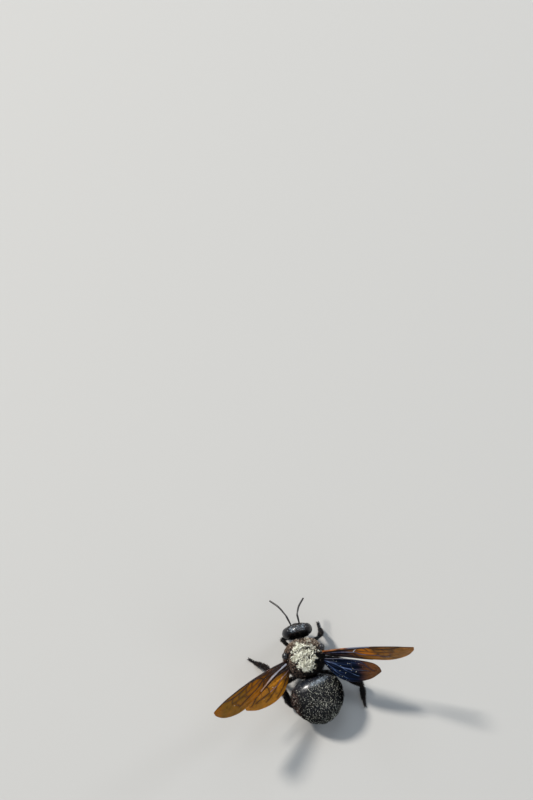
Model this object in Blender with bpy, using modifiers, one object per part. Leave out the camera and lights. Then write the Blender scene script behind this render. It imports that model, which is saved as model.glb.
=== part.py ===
"""A violet carpenter bee at life size, standing on its six feet with its wings half spread.

The bee faces -Y, its left side is +X and the floor is z = 0. Sizes are in metres, written as
millimetres times MM. The body solids reach out to the tips of the coat of hair.
"""

import math

import bmesh
import bpy
from mathutils import Matrix, Vector

MM = 0.001
GAP = 0.05 * MM  # between neighbouring solids
LEAST_RADIUS = 0.26 * MM  # legs and feelers are at least this thick

# The thorax, with its coat. Its long axis rises towards the head by THORAX_PITCH.
THORAX_SIZE = Vector((8.4, 8.2, 7.0)) * MM
THORAX_CENTRE = Vector((0, 0, 6.3)) * MM
THORAX_PITCH = math.radians(8)

# The head hangs in front of the thorax with its face upright.
HEAD_WIDTH = 5.3 * MM
HEAD_HEIGHT = 5.2 * MM
FACE_DEPTH = 1.55 * MM
NAPE_DEPTH = 1.25 * MM
HEAD_CENTRE = Vector((0, -5.3, 5.75)) * MM
EYE_RADII = Vector((0.95, 1.1, 2.05)) * MM
EYE_CENTRE = Vector((1.95, -0.1, 0.15)) * MM  # from the head's centre, on the left

# The abdomen bends down along an arc, from its waist to its tip, and swings a little to the right.
WAIST = Vector((-0.2, 3.8, 5.7)) * MM
ABDOMEN_LENGTH = 9.1 * MM
ABDOMEN_WIDTH = 10.0 * MM
BACK_HEIGHT = 3.5 * MM
BELLY_DEPTH = 3.0 * MM
DROOP_AT_WAIST = math.radians(10)
DROOP_AT_TIP = math.radians(42)
ABDOMEN_SWING = math.radians(6.5)
RING_ENDS = (0.0, 0.2, 0.4, 0.58, 0.74, 0.88, 1.0)  # where its six rings part, as shares of its length

# Wing outlines in the wing's own plane, (along the span, back along the chord), from the root.
WING_THICKNESS = 0.5 * MM
CAMBER = 0.04  # the arch of the wing, as a share of its chord
FORE_LEAD = ((0, 0), (5, -0.35), (11, -0.3), (16, 0.5), (18.3, 1.5), (19.0, 2.7))
FORE_TRAIL = ((0.2, 1.0), (4.5, 2.3), (8.8, 4.2), (12.6, 5.6), (16.0, 5.4), (18.2, 4.2), (19.0, 3.1))
HIND_LEAD = ((0, 0), (3.7, -0.2), (7.3, 0.0), (10.1, 0.5), (11.2, 1.3), (11.5, 2.1))
HIND_TRAIL = ((0.2, 0.8), (1.6, 2.5), (3.5, 4.1), (6.2, 4.6), (9.1, 4.0), (10.9, 2.9), (11.5, 2.4))
FORE_ROOT = Vector((3.3, -0.15, 8.0)) * MM
HIND_ROOT = Vector((3.2, 1.1, 7.3)) * MM
# Side, sweep back from square, rise of the span, and turn of the trailing edge downwards at the
# root and at the tip, in degrees.
FORE_WINGS = {"left": (1, 21.5, 31.5, 40, 73), "right": (-1, 16.5, 36, 58, 89)}
HIND_WINGS = {"left": (1, 23, 10, 38, 48), "right": (-1, 20.5, 20, 30, 44)}

# Legs. A hip is where the femur starts; ankles and toes say how the bee stands.
COXA_TOPS = {"front": (0.9, -2.3, 4.3), "mid": (1.2, -0.2, 3.6), "hind": (1.3, 2.1, 3.8)}
HIPS = {"front": (1.8, -3.0, 3.1), "mid": (2.5, 0.1, 2.4), "hind": (2.5, 2.7, 2.4)}
LEG_LENGTHS = {"front": (2.4, 2.6), "mid": (4.2, 4.0), "hind": (3.9, 4.5)}
LEG_RADII = {"front": (0.45, 0.42), "mid": (0.52, 0.55), "hind": (0.6, 0.78)}
# Side, ankle, toe on the floor, and the turn of the knee outwards from upright, in degrees.
STANCE = {
    ("front", "left"): (1, (2.0, -5.3, 1.6), (1.4, -7.1), 38),
    ("front", "right"): (-1, (4.6, -4.7, 1.6), (4.5, -6.8), 20),
    ("mid", "left"): (1, (7.9, -1.2, 1.9), (10.0, -3.3), 45),
    ("mid", "right"): (-1, (7.9, 2.7, 1.9), (9.9, 3.8), 10),
    ("hind", "left"): (1, (4.8, 6.9, 1.9), (2.9, 8.5), 45),
    ("hind", "right"): (-1, (9.5, 7.0, 1.9), (9.2, 10.9), 35),
}
SOLE_HEIGHT = 0.22 * MM  # of the foot's centre line over the floor, under its radius, so it stands on a flat
COXA_RADIUS = 0.62 * MM
FOOT_RADIUS = 0.27 * MM

# Feelers: elbow and two more points of each, from the socket on the face.
SOCKET = (0.75, -6.3, 5.9)
FEELERS = {
    "left": (1, (1.35, -8.7, 6.6), (2.3, -10.7, 6.3), (3.6, -12.5, 5.2)),
    "right": (-1, (0.75, -8.4, 6.7), (1.5, -9.9, 6.3), (2.8, -11.4, 5.2)),
}

FINISHES = {
    "black_fur": ((0.012, 0.011, 0.012), 0.8),
    "black_shell": ((0.010, 0.010, 0.013), 0.25),
    "eye": ((0.015, 0.014, 0.018), 0.15),
    "amber_wing": ((0.30, 0.13, 0.03), 0.3),
    "violet_wing": ((0.05, 0.05, 0.14), 0.3),
}


def clear_scene():
    for old in list(bpy.data.objects):
        bpy.data.objects.remove(old)


def make_collection(name):
    made = bpy.data.collections.new(name)
    bpy.context.scene.collection.children.link(made)
    return made


def finish_material(name):
    """The material of one finish, made the first time that it is asked for."""
    made = bpy.data.materials.get(name)
    if made is None:
        colour, roughness = FINISHES[name]
        made = bpy.data.materials.new(name)
        made.use_nodes = True
        shader = made.node_tree.nodes["Principled BSDF"]
        shader.inputs["Base Color"].default_value = (*colour, 1)
        shader.inputs["Roughness"].default_value = roughness
        shader.inputs["Metallic"].default_value = 0
    return made


def add_solid(name, bm, finish, collection):
    """Turns a bmesh, whose points are already in place, into a smooth-shaded object."""
    bmesh.ops.recalc_face_normals(bm, faces=bm.faces)
    mesh = bpy.data.meshes.new(name)
    bm.to_mesh(mesh)
    bm.free()
    mesh.materials.append(finish_material(finish))
    mesh.shade_smooth()
    mesh.set_sharp_from_angle(angle=math.radians(50))
    made = bpy.data.objects.new(name, mesh)
    collection.objects.link(made)
    return made


def ball(shape, around, along):
    """A ball whose every point, a unit vector, is carried to its place by shape."""
    bm = bmesh.new()
    bmesh.ops.create_uvsphere(bm, u_segments=around, v_segments=along, radius=1)
    for vert in bm.verts:
        vert.co = shape(vert.co)
    return bm


def signed_power(value, power):
    return math.copysign(abs(value) ** power, value)


def thorax_shape(extra=0):
    """A full, slightly square egg, tipped up at the head end; extra is added all round."""
    tilt = Matrix.Rotation(-THORAX_PITCH, 3, "X")

    def place(p):
        half = THORAX_SIZE / 2 + Vector((extra, extra, extra))
        taper = 1 - 0.10 * p.y**2
        local = Vector((signed_power(p.x, 0.92) * taper * half.x,
                        signed_power(p.y, 0.88) * half.y,
                        signed_power(p.z, 0.92) * half.z))
        return THORAX_CENTRE + tilt @ local

    return place


def head_shape(extra=0):
    """A head broad at the eyes, narrower at the jaws, with a full face and a flatter nape."""

    def place(p):
        narrowing = 1 - 0.20 * max(0, -p.z) ** 2
        depth = FACE_DEPTH if p.y < 0 else NAPE_DEPTH
        return HEAD_CENTRE + Vector((p.x * (HEAD_WIDTH / 2 + extra) * narrowing,
                                     signed_power(p.y, 0.85) * (depth + extra),
                                     signed_power(p.z, 0.95) * (HEAD_HEIGHT / 2 + extra)))

    return place


def eye_shape(side, extra=0):
    """A tall bean against the side of the head, its top leaning in."""
    lean = Matrix.Rotation(math.radians(-8 * side), 3, "Y")
    centre = HEAD_CENTRE + Vector((side * EYE_CENTRE.x, EYE_CENTRE.y, EYE_CENTRE.z))

    def place(p):
        radii = EYE_RADII + Vector((extra, extra, extra))
        return centre + lean @ Vector((p.x * radii.x, p.y * radii.y, p.z * radii.z))

    return place


def abdomen_axis(t):
    """The point on the abdomen's arc at share t of its length, and the arc's direction there."""
    turn = DROOP_AT_TIP - DROOP_AT_WAIST
    droop = DROOP_AT_WAIST + turn * t
    run = (math.sin(droop) - math.sin(DROOP_AT_WAIST)) / turn
    fall = (math.cos(droop) - math.cos(DROOP_AT_WAIST)) / turn
    point = WAIST + ABDOMEN_LENGTH * Vector((0, run, fall))
    return point, Vector((0, math.cos(droop), -math.sin(droop)))


def plumpness(t):
    """The abdomen's girth at share t, blunt at the waist and round at the tip."""
    q = t**0.75
    return max(0.0, 4 * q * (1 - q)) ** 0.45


def abdomen_shape(p):
    """Carries a unit ball, its pole at the waist, on to the drooping abdomen."""
    t = min(1.0, max(0.0, (1 - p.z) / 2))
    point, forward = abdomen_axis(t)
    round_part = math.hypot(p.x, p.y)
    if round_part < 1e-6:
        return point
    across, up = p.x / round_part, p.y / round_part
    rise = BACK_HEIGHT if up > 0 else BELLY_DEPTH
    back = Vector((0, -forward.z, forward.y))
    girth = plumpness(t)
    return point + Vector((across * ABDOMEN_WIDTH / 2 * girth, 0, 0)) + back * (up * rise * girth)


def cut_away(bm, point, normal):
    """Removes what lies on the normal's side of the plane, and closes the cut."""
    geometry = bm.verts[:] + bm.edges[:] + bm.faces[:]
    bmesh.ops.bisect_plane(bm, geom=geometry, plane_co=point, plane_no=normal, dist=1e-9, clear_outer=True)
    rim = [edge for edge in bm.edges if edge.is_boundary]
    bmesh.ops.holes_fill(bm, edges=rim)


def make_abdomen(collection, thorax_cutter):
    """The abdomen, made whole, parted into its six rings by thin cuts and swung about the waist."""
    swing = Matrix.Translation(WAIST) @ Matrix.Rotation(ABDOMEN_SWING, 4, "Z") @ Matrix.Translation(-WAIST)
    for number, (start, end) in enumerate(zip(RING_ENDS, RING_ENDS[1:]), 1):
        bm = ball(abdomen_shape, 28, 22)
        if start > 0:
            point, forward = abdomen_axis(start)
            cut_away(bm, point + forward * GAP / 2, -forward)
        if end < 1:
            point, forward = abdomen_axis(end)
            cut_away(bm, point - forward * GAP / 2, forward)
        bm.transform(swing)
        ring = add_solid(f"abdomen_ring_{number}", bm, "black_shell", collection)
        if start == 0:
            trim(ring, [thorax_cutter])


def smooth_path(points, count):
    """count points on the Catmull-Rom curve through the given ones, end to end."""
    first, last = points[0] * 2 - points[1], points[-1] * 2 - points[-2]
    knots = [first, *points, last]
    found = []
    for i in range(count):
        place = i / (count - 1) * (len(points) - 1)
        k = min(int(place), len(points) - 2)
        t = place - k
        a, b, c, d = knots[k : k + 4]
        found.append(0.5 * (2 * b + (c - a) * t + (2 * a - 5 * b + 4 * c - d) * t**2
                            + (3 * b - a - 3 * c + d) * t**3))
    return found


def tube(points, radii):
    """A round-sided tube along the points, as thick at each as its radius says."""
    data = bpy.data.curves.new("tube", "CURVE")
    data.dimensions = "3D"
    data.bevel_depth = 1.0
    data.bevel_resolution = 2
    data.use_fill_caps = True
    spline = data.splines.new("POLY")
    spline.points.add(len(points) - 1)
    for knot, point, radius in zip(spline.points, points, radii):
        knot.co = (*point, 1)
        knot.radius = radius
    guide = bpy.data.objects.new("tube", data)
    bpy.context.scene.collection.objects.link(guide)
    graph = bpy.context.evaluated_depsgraph_get()
    mesh = bpy.data.meshes.new_from_object(guide.evaluated_get(graph))
    bpy.data.objects.remove(guide)
    bm = bmesh.new()
    bm.from_mesh(mesh)
    bmesh.ops.remove_doubles(bm, verts=bm.verts, dist=1e-7)
    return bm


def spindle(start, end, radius, waist, count=7):
    """A straight leg piece that swells from a narrow joint to its radius and narrows again.

    It runs on past both joints, so that a slanting cut leaves a whole face on it.
    """
    points = [start.lerp(end, i / (count - 1)) for i in range(count)]
    radii = [waist + (radius - waist) * math.sin(math.pi * (i / (count - 1)) ** 0.8) ** 0.7
             for i in range(count)]
    beyond = (end - start).normalized() * 2.2 * waist
    return tube([start - beyond, *points, end + beyond], [waist, *radii, waist])


def mitre(bm, before, joint, after, keep_first):
    """Cuts a piece at a bent joint, half a gap short of the plane that halves the bend."""
    normal = ((after - joint).normalized() - (before - joint).normalized()).normalized()
    outward = normal if keep_first else -normal
    cut_away(bm, joint - outward * GAP / 2, outward)


def mirrored(point, side):
    return Vector((point[0] * side, point[1], point[2])) * MM


def knee_of(hip, ankle, femur, tibia, side, outward):
    """The knee of a two-piece leg: over the line from hip to ankle, turned outwards about it."""
    line = ankle - hip
    span = line.length
    share = (femur**2 - tibia**2 + span**2) / (2 * span)
    rise = math.sqrt(max(0.0, femur**2 - share**2))
    along = line.normalized()
    upright = (Vector((0, 0, 1)) - along * along.z).normalized()
    sideways = Vector((side, 0, 0))
    sideways = (sideways - along * sideways.dot(along) - upright * sideways.dot(upright)).normalized()
    return hip + along * share + (upright * math.cos(outward) + sideways * math.sin(outward)) * rise


def trim(piece, cutters):
    """Cuts the piece back to the faces of the cutters, which stand one gap proud of their solids."""
    for cutter in cutters:
        cut = piece.modifiers.new(f"trim by {cutter.name}", "BOOLEAN")
        cut.operation = "DIFFERENCE"
        cut.object = cutter


def make_leg(pair, side_name, collection, thorax_cutter):
    """One leg: coxa, femur, tibia and a foot that stands on a flat."""
    side, ankle, toe, outward = STANCE[pair, side_name]
    top, hip, ankle = (mirrored(p, side) for p in (COXA_TOPS[pair], HIPS[pair], ankle))
    toe = Vector((toe[0] * side * MM, toe[1] * MM, SOLE_HEIGHT))
    femur, tibia = (length * MM for length in LEG_LENGTHS[pair])
    femur_radius, tibia_radius = (radius * MM for radius in LEG_RADII[pair])
    knee = knee_of(hip, ankle, femur, tibia, side, math.radians(outward))
    name = f"leg_{pair}_{side_name}_"
    heel = toe + (ankle.xy - toe.xy).normalized().to_3d() * 1.2 * MM

    coxa = spindle(top, hip, COXA_RADIUS, 0.36 * MM)
    mitre(coxa, top, hip, knee, True)
    trim(add_solid(name + "coxa", coxa, "black_shell", collection), [thorax_cutter])

    femur = spindle(hip, knee, femur_radius, LEAST_RADIUS)
    mitre(femur, top, hip, knee, False)
    mitre(femur, hip, knee, ankle, True)
    trim(add_solid(name + "femur", femur, "black_shell", collection), [thorax_cutter])

    tibia = spindle(knee, ankle, tibia_radius, LEAST_RADIUS)
    mitre(tibia, hip, knee, ankle, False)
    mitre(tibia, knee, ankle, heel, True)
    add_solid(name + "tibia", tibia, "black_fur", collection)

    points = smooth_path([ankle, ankle.lerp(heel, 0.55), heel, toe], 9)
    radii = [LEAST_RADIUS + (0.4 * femur_radius if 0 < i < 4 else 0.0) for i in range(9)]
    radii[5:] = [FOOT_RADIUS] * 4
    beyond = (ankle - heel).normalized() * 2.2 * LEAST_RADIUS
    foot = tube([ankle + beyond, *points], [LEAST_RADIUS, *radii])
    mitre(foot, knee, ankle, heel, False)
    cut_away(foot, Vector(), Vector((0, 0, -1)))
    add_solid(name + "foot", foot, "black_fur", collection)


def wing_axes(side, sweep, rise):
    """Unit vectors along the span, level across it towards the rear, and upwards from both."""
    sweep, rise = math.radians(sweep), math.radians(rise)
    flat = math.cos(rise)
    span = Vector((side * flat * math.cos(sweep), flat * math.sin(sweep), math.sin(rise)))
    level = Vector((-side * math.sin(sweep), math.cos(sweep), 0))
    return span, level, side * span.cross(level)


def make_wing(name, lead, trail, root, pose, finish, collection, cutters):
    """A wing: a sheet ruled from leading to trailing edge, twisted and arched, then thickened."""
    side, sweep, rise, root_turn, tip_turn = pose
    span, level, upward = wing_axes(side, sweep, rise)
    across, down = 19, 5
    edges = [smooth_path([Vector(p) * MM for p in edge], across) for edge in (lead, trail)]
    bm = bmesh.new()
    bmesh.ops.create_grid(bm, x_segments=across - 1, y_segments=down - 1, size=1)
    for vert in bm.verts:
        i, q = round((vert.co.x + 1) / 2 * (across - 1)), (vert.co.y + 1) / 2
        flat = edges[0][i].lerp(edges[1][i], q)
        depth = (edges[1][i] - edges[0][i]).length
        turn = math.radians(root_turn + (tip_turn - root_turn) * i / (across - 1))
        chord = level * math.cos(turn) - upward * math.sin(turn)
        normal = upward * math.cos(turn) + level * math.sin(turn)
        place = mirrored(root / MM, side) + span * flat.x + chord * flat.y
        vert.co = place + normal * CAMBER * depth * 4 * q * (1 - q)
    wing = add_solid(name, bm, finish, collection)
    shell = wing.modifiers.new("thickness", "SOLIDIFY")
    shell.thickness = WING_THICKNESS
    shell.offset = 0
    shell.use_even_offset = True
    trim(wing, cutters)
    return wing


def make_head(collection, cutters, thorax_cutter):
    """The head with its eyes, jaws, tongue and feelers."""
    head = add_solid("head", ball(head_shape(), 24, 14), "black_shell", collection)
    sockets = []
    for name, side in (("left", 1), ("right", -1)):
        add_solid(f"eye_{name}", ball(eye_shape(side), 14, 10), "eye", collection)
        socket = add_solid(f"socket_{name}", ball(eye_shape(side, GAP), 14, 10), "eye", cutters)
        sockets.append(socket)
    trim(head, [*sockets, thorax_cutter])
    nape = add_solid("head_cutter", ball(head_shape(GAP), 24, 14), "black_shell", cutters)

    for name, side in (("left", 1), ("right", -1)):
        jaw = [mirrored(p, side) for p in ((1.5, -5.9, 4.0), (1.35, -6.5, 3.1), (0.42, -6.75, 2.6))]
        bm = tube(smooth_path(jaw, 7), [r * MM for r in (0.45, 0.48, 0.48, 0.44, 0.38, 0.32, 0.27)])
        trim(add_solid(f"mandible_{name}", bm, "black_shell", collection), [nape])

        side, elbow, bend, tip = FEELERS[name]
        socket, elbow, bend, tip = (mirrored(p, side) for p in (SOCKET, elbow, bend, tip))
        reach = (elbow - socket).normalized() * 0.1 * MM
        scape = tube([socket, socket.lerp(elbow, 0.5), elbow - reach], [LEAST_RADIUS] * 3)
        trim(add_solid(f"antenna_{name}_scape", scape, "black_shell", collection), [nape])
        start = elbow + (bend - elbow).normalized() * 0.1 * MM
        whip = tube(smooth_path([start, bend, tip], 9), [LEAST_RADIUS] * 9)
        add_solid(f"antenna_{name}_flagellum", whip, "black_shell", collection)

    tongue = [mirrored(p, 1) for p in ((0, -6.0, 3.3), (0, -5.2, 2.55), (0, -3.9, 2.7))]
    bm = tube(smooth_path(tongue, 7), [r * MM for r in (0.4, 0.45, 0.45, 0.42, 0.38, 0.33, 0.28)])
    trim(add_solid("tongue", bm, "black_shell", collection), [nape])


def make_bee():
    """Builds every part and returns their collection."""
    parts = make_collection("carpenter_bee")
    cutters = make_collection("cutters")
    thorax_cutter = add_solid("thorax_cutter", ball(thorax_shape(GAP), 26, 16), "black_fur", cutters)
    add_solid("thorax", ball(thorax_shape(), 26, 16), "black_fur", parts)
    make_head(parts, cutters, thorax_cutter)
    make_abdomen(parts, thorax_cutter)
    for name, side in (("left", 1), ("right", -1)):
        centre = mirrored((3.5, -1.0, 8.35), side)
        cap = ball(lambda p, c=centre: c + Vector((p.x * 0.65, p.y * 0.62, p.z * 0.6)) * MM, 12, 8)
        trim(add_solid(f"tegula_{name}", cap, "black_shell", parts), [thorax_cutter])
        make_wing(f"forewing_{name}", FORE_LEAD, FORE_TRAIL, FORE_ROOT, FORE_WINGS[name],
                  "amber_wing", parts, [thorax_cutter])
        make_wing(f"hindwing_{name}", HIND_LEAD, HIND_TRAIL, HIND_ROOT, HIND_WINGS[name],
                  "violet_wing", parts, [thorax_cutter])
    for pair, side_name in STANCE:
        make_leg(pair, side_name, parts, thorax_cutter)
    for cutter in cutters.objects:
        cutter.hide_render = True
        cutter.display_type = "WIRE"
    return parts


def centre_on_floor(parts):
    """Moves the bee level, so that its box is centred over the origin."""
    bpy.context.view_layer.update()
    graph = bpy.context.evaluated_depsgraph_get()
    corners = [Vector(c) for part in parts.objects for c in part.evaluated_get(graph).bound_box]
    middle = [(min(c[i] for c in corners) + max(c[i] for c in corners)) / 2 for i in (0, 1)]
    stand = bpy.data.objects.new("stance", None)
    bpy.context.scene.collection.objects.link(stand)
    for made in bpy.data.objects:
        if made.type == "MESH":
            made.parent = stand
    stand.location = (-middle[0], -middle[1], 0)


clear_scene()
centre_on_floor(make_bee())
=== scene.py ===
# %% [markdown]
# # A violet carpenter bee
# This script dresses a solid model of a large carpenter bee. The solids carry the weight and the
# outline. Here they get what the eye looks for: pitted black shell, a deep coat of hair with pollen
# in it, faceted eyes, jointed feet with claws, and thin veined wings.
# Every shape is worked out with numpy from a function of two numbers, u round it and v along it.
# %% Load the frame
import math

import bpy
import numpy as np
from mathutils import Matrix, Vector


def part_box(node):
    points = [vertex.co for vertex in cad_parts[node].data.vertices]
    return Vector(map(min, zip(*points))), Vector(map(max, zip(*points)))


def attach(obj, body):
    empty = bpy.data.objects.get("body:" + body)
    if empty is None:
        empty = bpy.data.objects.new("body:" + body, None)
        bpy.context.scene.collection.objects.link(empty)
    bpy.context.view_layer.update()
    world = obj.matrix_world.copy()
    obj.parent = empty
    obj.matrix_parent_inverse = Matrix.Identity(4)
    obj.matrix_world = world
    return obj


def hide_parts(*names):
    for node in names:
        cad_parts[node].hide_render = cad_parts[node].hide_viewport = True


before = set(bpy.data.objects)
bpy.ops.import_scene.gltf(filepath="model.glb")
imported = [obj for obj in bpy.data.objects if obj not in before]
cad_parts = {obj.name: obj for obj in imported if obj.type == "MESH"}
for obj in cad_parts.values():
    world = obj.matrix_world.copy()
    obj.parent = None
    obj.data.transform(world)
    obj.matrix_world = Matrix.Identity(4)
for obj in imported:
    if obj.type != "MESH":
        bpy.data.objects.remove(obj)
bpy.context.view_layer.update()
MM = 0.001
print("solids:", len(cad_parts))

# %% [markdown]
# ## The body's driving sizes
# The hair hides the shell, so the shell has to be worked out from the solids: it lies inside them
# by the depth of the coat. All sizes below are in millimetres, in the bee's own frame: x to its
# left, y to its rear and z up. The thorax's box says where that frame stands in the model.
# %% Driving sizes
THORAX_SIZE = np.array([8.4, 8.2, 7.0])
THORAX_HEIGHT = 6.3
THORAX_CENTRE = np.array([0, 0, THORAX_HEIGHT])
THORAX_PITCH = math.radians(8)
HEAD_CENTRE = np.array([0, -5.3, 5.75])
HEAD_WIDTH, HEAD_HEIGHT, FACE_DEPTH, NAPE_DEPTH = 5.3, 5.2, 1.55, 1.25
EYE_RADII = np.array([0.95, 1.1, 2.05])
EYE_CENTRE = np.array([1.95, -0.1, 0.15])
WAIST = np.array([-0.2, 3.8, 5.7])
ABDOMEN_LENGTH, ABDOMEN_WIDTH, BACK_HEIGHT, BELLY_DEPTH = 9.1, 10.0, 3.5, 3.0
DROOP_AT_WAIST, DROOP_AT_TIP = math.radians(10), math.radians(42)
ABDOMEN_SWING = math.radians(6.5)  # how far it turns about the waist, to the right
RING_ENDS = np.array([0.0, 0.2, 0.4, 0.58, 0.74, 0.88, 1.0])  # shares of its length
box_low, box_high = (np.array(corner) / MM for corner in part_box("thorax"))
BEE_ORIGIN = (box_low + box_high) / 2 - [0, 0, THORAX_HEIGHT]
print("bee frame stands at", BEE_ORIGIN.round(3), "mm")

# %% [markdown]
# ## From arrays to a mesh
# A closed skin is a grid of points: u goes once round, v goes from one end to the other, and each
# end is pinched to a single point, so that no hole is left there. The same u and v, kept as a UV
# map, are the skin's unwrap, and the hairs later use them to say where they grow. A grid like this
# is quick to work out as whole arrays, and its faces can't come out torn.
# %% Grid helpers
def unit(vectors):
    """Each vector divided by its length."""
    return vectors / np.maximum(np.linalg.norm(vectors, axis=-1, keepdims=True), 1e-12)


def unit_ball(u, v):
    """A place on a ball of radius 1: two parts round its axis, by u, and one along it from -1 to 1, by v."""
    ring, angle = np.sin(np.pi * v), 2 * np.pi * u
    return ring * np.cos(angle), ring * np.sin(angle), -np.cos(np.pi * v)


def signed_volume(points, faces):
    """Six times the volume inside the faces: positive where they all point outwards."""
    a, b, c = (points[faces[:, k]] for k in range(3))
    return float(np.einsum("ij,ij->", a, np.cross(b, c)))


def skin(shape, around, along, rows=None, tile=(0, 0, 1)):
    """Points, triangles and UVs of shape(u, v), closed round u and pinched at both ends of v.

    rows gives the values of v where they aren't evenly spaced. tile is (left, bottom, size) of the
    square of the unwrap that this skin fills.
    """
    v = np.linspace(0, 1, along + 1) if rows is None else rows
    u = np.arange(around) / around
    points = shape(*np.meshgrid(u, v)).reshape(-1, 3)
    last = len(v) - 1
    points[:around] = points[:around].mean(0)
    points[-around:] = points[-around:].mean(0)
    i, j = (grid.ravel() for grid in np.meshgrid(np.arange(last), np.arange(around), indexing="ij"))
    right = (j + 1) % around
    a, b, c, d = i * around + j, i * around + right, (i + 1) * around + right, (i + 1) * around + j
    not_first, not_last = i > 0, i < last - 1
    faces = np.concatenate([np.stack([a, b, c], 1)[not_first], np.stack([a, c, d], 1)[not_last]])
    corner_u = np.concatenate([np.stack([j, j + 1, j + 1], 1)[not_first],
                               np.stack([j, j + 1, j], 1)[not_last]])
    corner_v = v[faces // around]
    faces[faces < around] = 0
    faces[faces >= last * around] = last * around
    if signed_volume(points, faces) < 0:
        faces, corner_u, corner_v = faces[:, ::-1], corner_u[:, ::-1], corner_v[:, ::-1]
    uvs = np.stack([corner_u / around, corner_v], -1) * tile[2] + tile[:2]
    used, faces = np.unique(faces, return_inverse=True)
    return points[used], faces.reshape(-1, 3), uvs


test_faces = skin(lambda u, v: np.stack(unit_ball(u, v), -1), 20, 12)[1]
print("a ball of 20 by 12 steps has", len(test_faces), "triangles")

# %% Mesh helpers
def joined(parts):
    """Several (points, triangles, UVs) as one."""
    starts = np.cumsum([0] + [len(points) for points, _, _ in parts[:-1]])
    return (np.concatenate([points for points, _, _ in parts]),
            np.concatenate([faces + start for (_, faces, _), start in zip(parts, starts)]),
            np.concatenate([uvs for _, _, uvs in parts]))


def tile_of(k, count):
    """The k-th of count squares of the unwrap, a little apart from its neighbours."""
    wide = math.ceil(math.sqrt(count))
    return ((k % wide + 0.02) / wide, (k // wide + 0.02) / wide, 0.96 / wide)


def bundle(shapes):
    """Closed skins as one mesh, from (shape, around, along) each; each has its square of the unwrap."""
    return joined([skin(*each, tile=tile_of(k, len(shapes))) for k, each in enumerate(shapes)])


def add_piece(name, arrays, material, nodes=()):
    """Puts points in the bee's frame, triangles and corner UVs into one mesh, riding on the body."""
    points, faces, uvs = arrays
    mesh = bpy.data.meshes.new(name)
    mesh.from_pydata((points + BEE_ORIGIN) * MM, [], faces)
    mesh.uv_layers.new(name="OFBake").data.foreach_set("uv", uvs.astype(np.float32).ravel())
    mesh.polygons.foreach_set("use_smooth", np.full(len(faces), True))
    mesh.materials.append(material)
    piece = bpy.data.objects.new(name, mesh)
    bpy.context.scene.collection.objects.link(piece)
    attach(piece, "root")
    if nodes:
        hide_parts(*nodes)
    print(f"{name}: {len(faces)} triangles")
    return piece

# %% [markdown]
# ## Hair that is solid
# A hair could be a particle or a curve, but those don't leave Blender with the model. Here each
# hair is a thin three-sided spike with its own root. Its root is found by spreading points over a
# skin's u and v by area, and it leans the way the coat lies. Neighbours share a slow drift, so
# that they gather into tufts.
# %% Where hairs stand
STEP = 1e-3  # of u or v, over which a direction is measured
ROOT_CELLS = (200, 140)  # the cells round and along a skin among which the roots are shared out
WAVES = 6  # how many sines add up to one part of a drift


def everywhere(points, u, v):
    """The same density all over a skin."""
    return np.ones(u.shape)


def frame_at(shape, u, v):
    """The point shape(u, v), its outward normal, and the direction in which v grows."""
    across = unit(shape(u + STEP, v) - shape(u - STEP, v))
    down = unit(shape(u, np.minimum(v + STEP, 1)) - shape(u, np.maximum(v - STEP, 0)))
    return shape(u, v), unit(np.cross(down, across)), down


def spread_roots(shape, count, rng, density):
    """count places (u, v), as many to each patch of the skin as its area times density(points, u, v)."""
    around, along = ROOT_CELLS
    u, v = np.meshgrid((np.arange(around) + 0.5) / around, (np.arange(along) + 0.5) / along)
    half = 0.5 / np.array([around, along])
    across = shape(u + half[0], v) - shape(u - half[0], v)
    down = shape(u, v + half[1]) - shape(u, v - half[1])
    weight = np.linalg.norm(np.cross(across, down), axis=-1) * density(shape(u, v), u, v)
    total = np.cumsum(weight.ravel())
    aims = (np.arange(count) + rng.random(count)) / count * total[-1]
    cells = np.minimum(np.searchsorted(total, aims), total.size - 1)
    return (cells % around + rng.random(count)) / around, (cells // around + rng.random(count)) / along


def drift(points, size, seed):
    """Smooth vectors that turn every size mm or so: each part is a sum of sines of the place."""
    rng = np.random.default_rng(seed)
    waves = rng.normal(size=(3, WAVES, 3)) * 3 / size
    phases = rng.random((3, WAVES)) * 2 * np.pi
    return np.sin(np.einsum("nk,cwk->ncw", points, waves) + phases).mean(-1) * 2


def drift_at(points, size, seed):
    """The first part of the drift, for points that stand in a grid."""
    return drift(points.reshape(-1, 3), size, seed)[:, 0].reshape(points.shape[:-1])


print("roots are shared out among", ROOT_CELLS[0] * ROOT_CELLS[1], "cells of a skin")

# %% Hairs as spikes
PATCH = 0.003  # the width of one hair's patch on the skin's unwrap
SPIKE = np.array([[0, 1, 4], [0, 4, 3], [1, 2, 5], [1, 5, 4], [2, 0, 3], [2, 3, 5],
                  [3, 4, 6], [4, 5, 6], [5, 3, 6], [0, 2, 1]])
SPIKE_UV = np.array([[-0.5, -0.5], [0, -0.5], [0.5, -0.5], [-0.4, 0], [0, 0], [0.4, 0], [0, 0.5]])
TUFT_SIZE = 0.9  # mm over which the lean of a tuft changes
RAGGED = 0.3  # the share by which some hairs are shorter than others
LEAST_RISE = 0.12  # how much of a hair's direction is always away from the skin
ROOT_DEPTH = 0.03  # mm by which a hair starts under the skin
THINNER = 0.3  # the share by which some hairs are thinner than others
HALFWAY_GIRTH = 0.75  # a spike's width halfway up, of that at its root


def small_forms(form, form_uv, points, u, v, tile=(0, 0, 1)):
    """Many copies of a small form as one mesh: points has one row a copy, and each copy fills its patch."""
    faces = form + points.shape[1] * np.arange(len(points))[:, None, None]
    place = np.stack([u, v], -1) * tile[2] + tile[:2]
    uvs = place[:, None, None] + PATCH * form_uv[form]
    return points.reshape(-1, 3), faces.reshape(-1, 3), uvs.reshape(-1, 3, 2)


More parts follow.
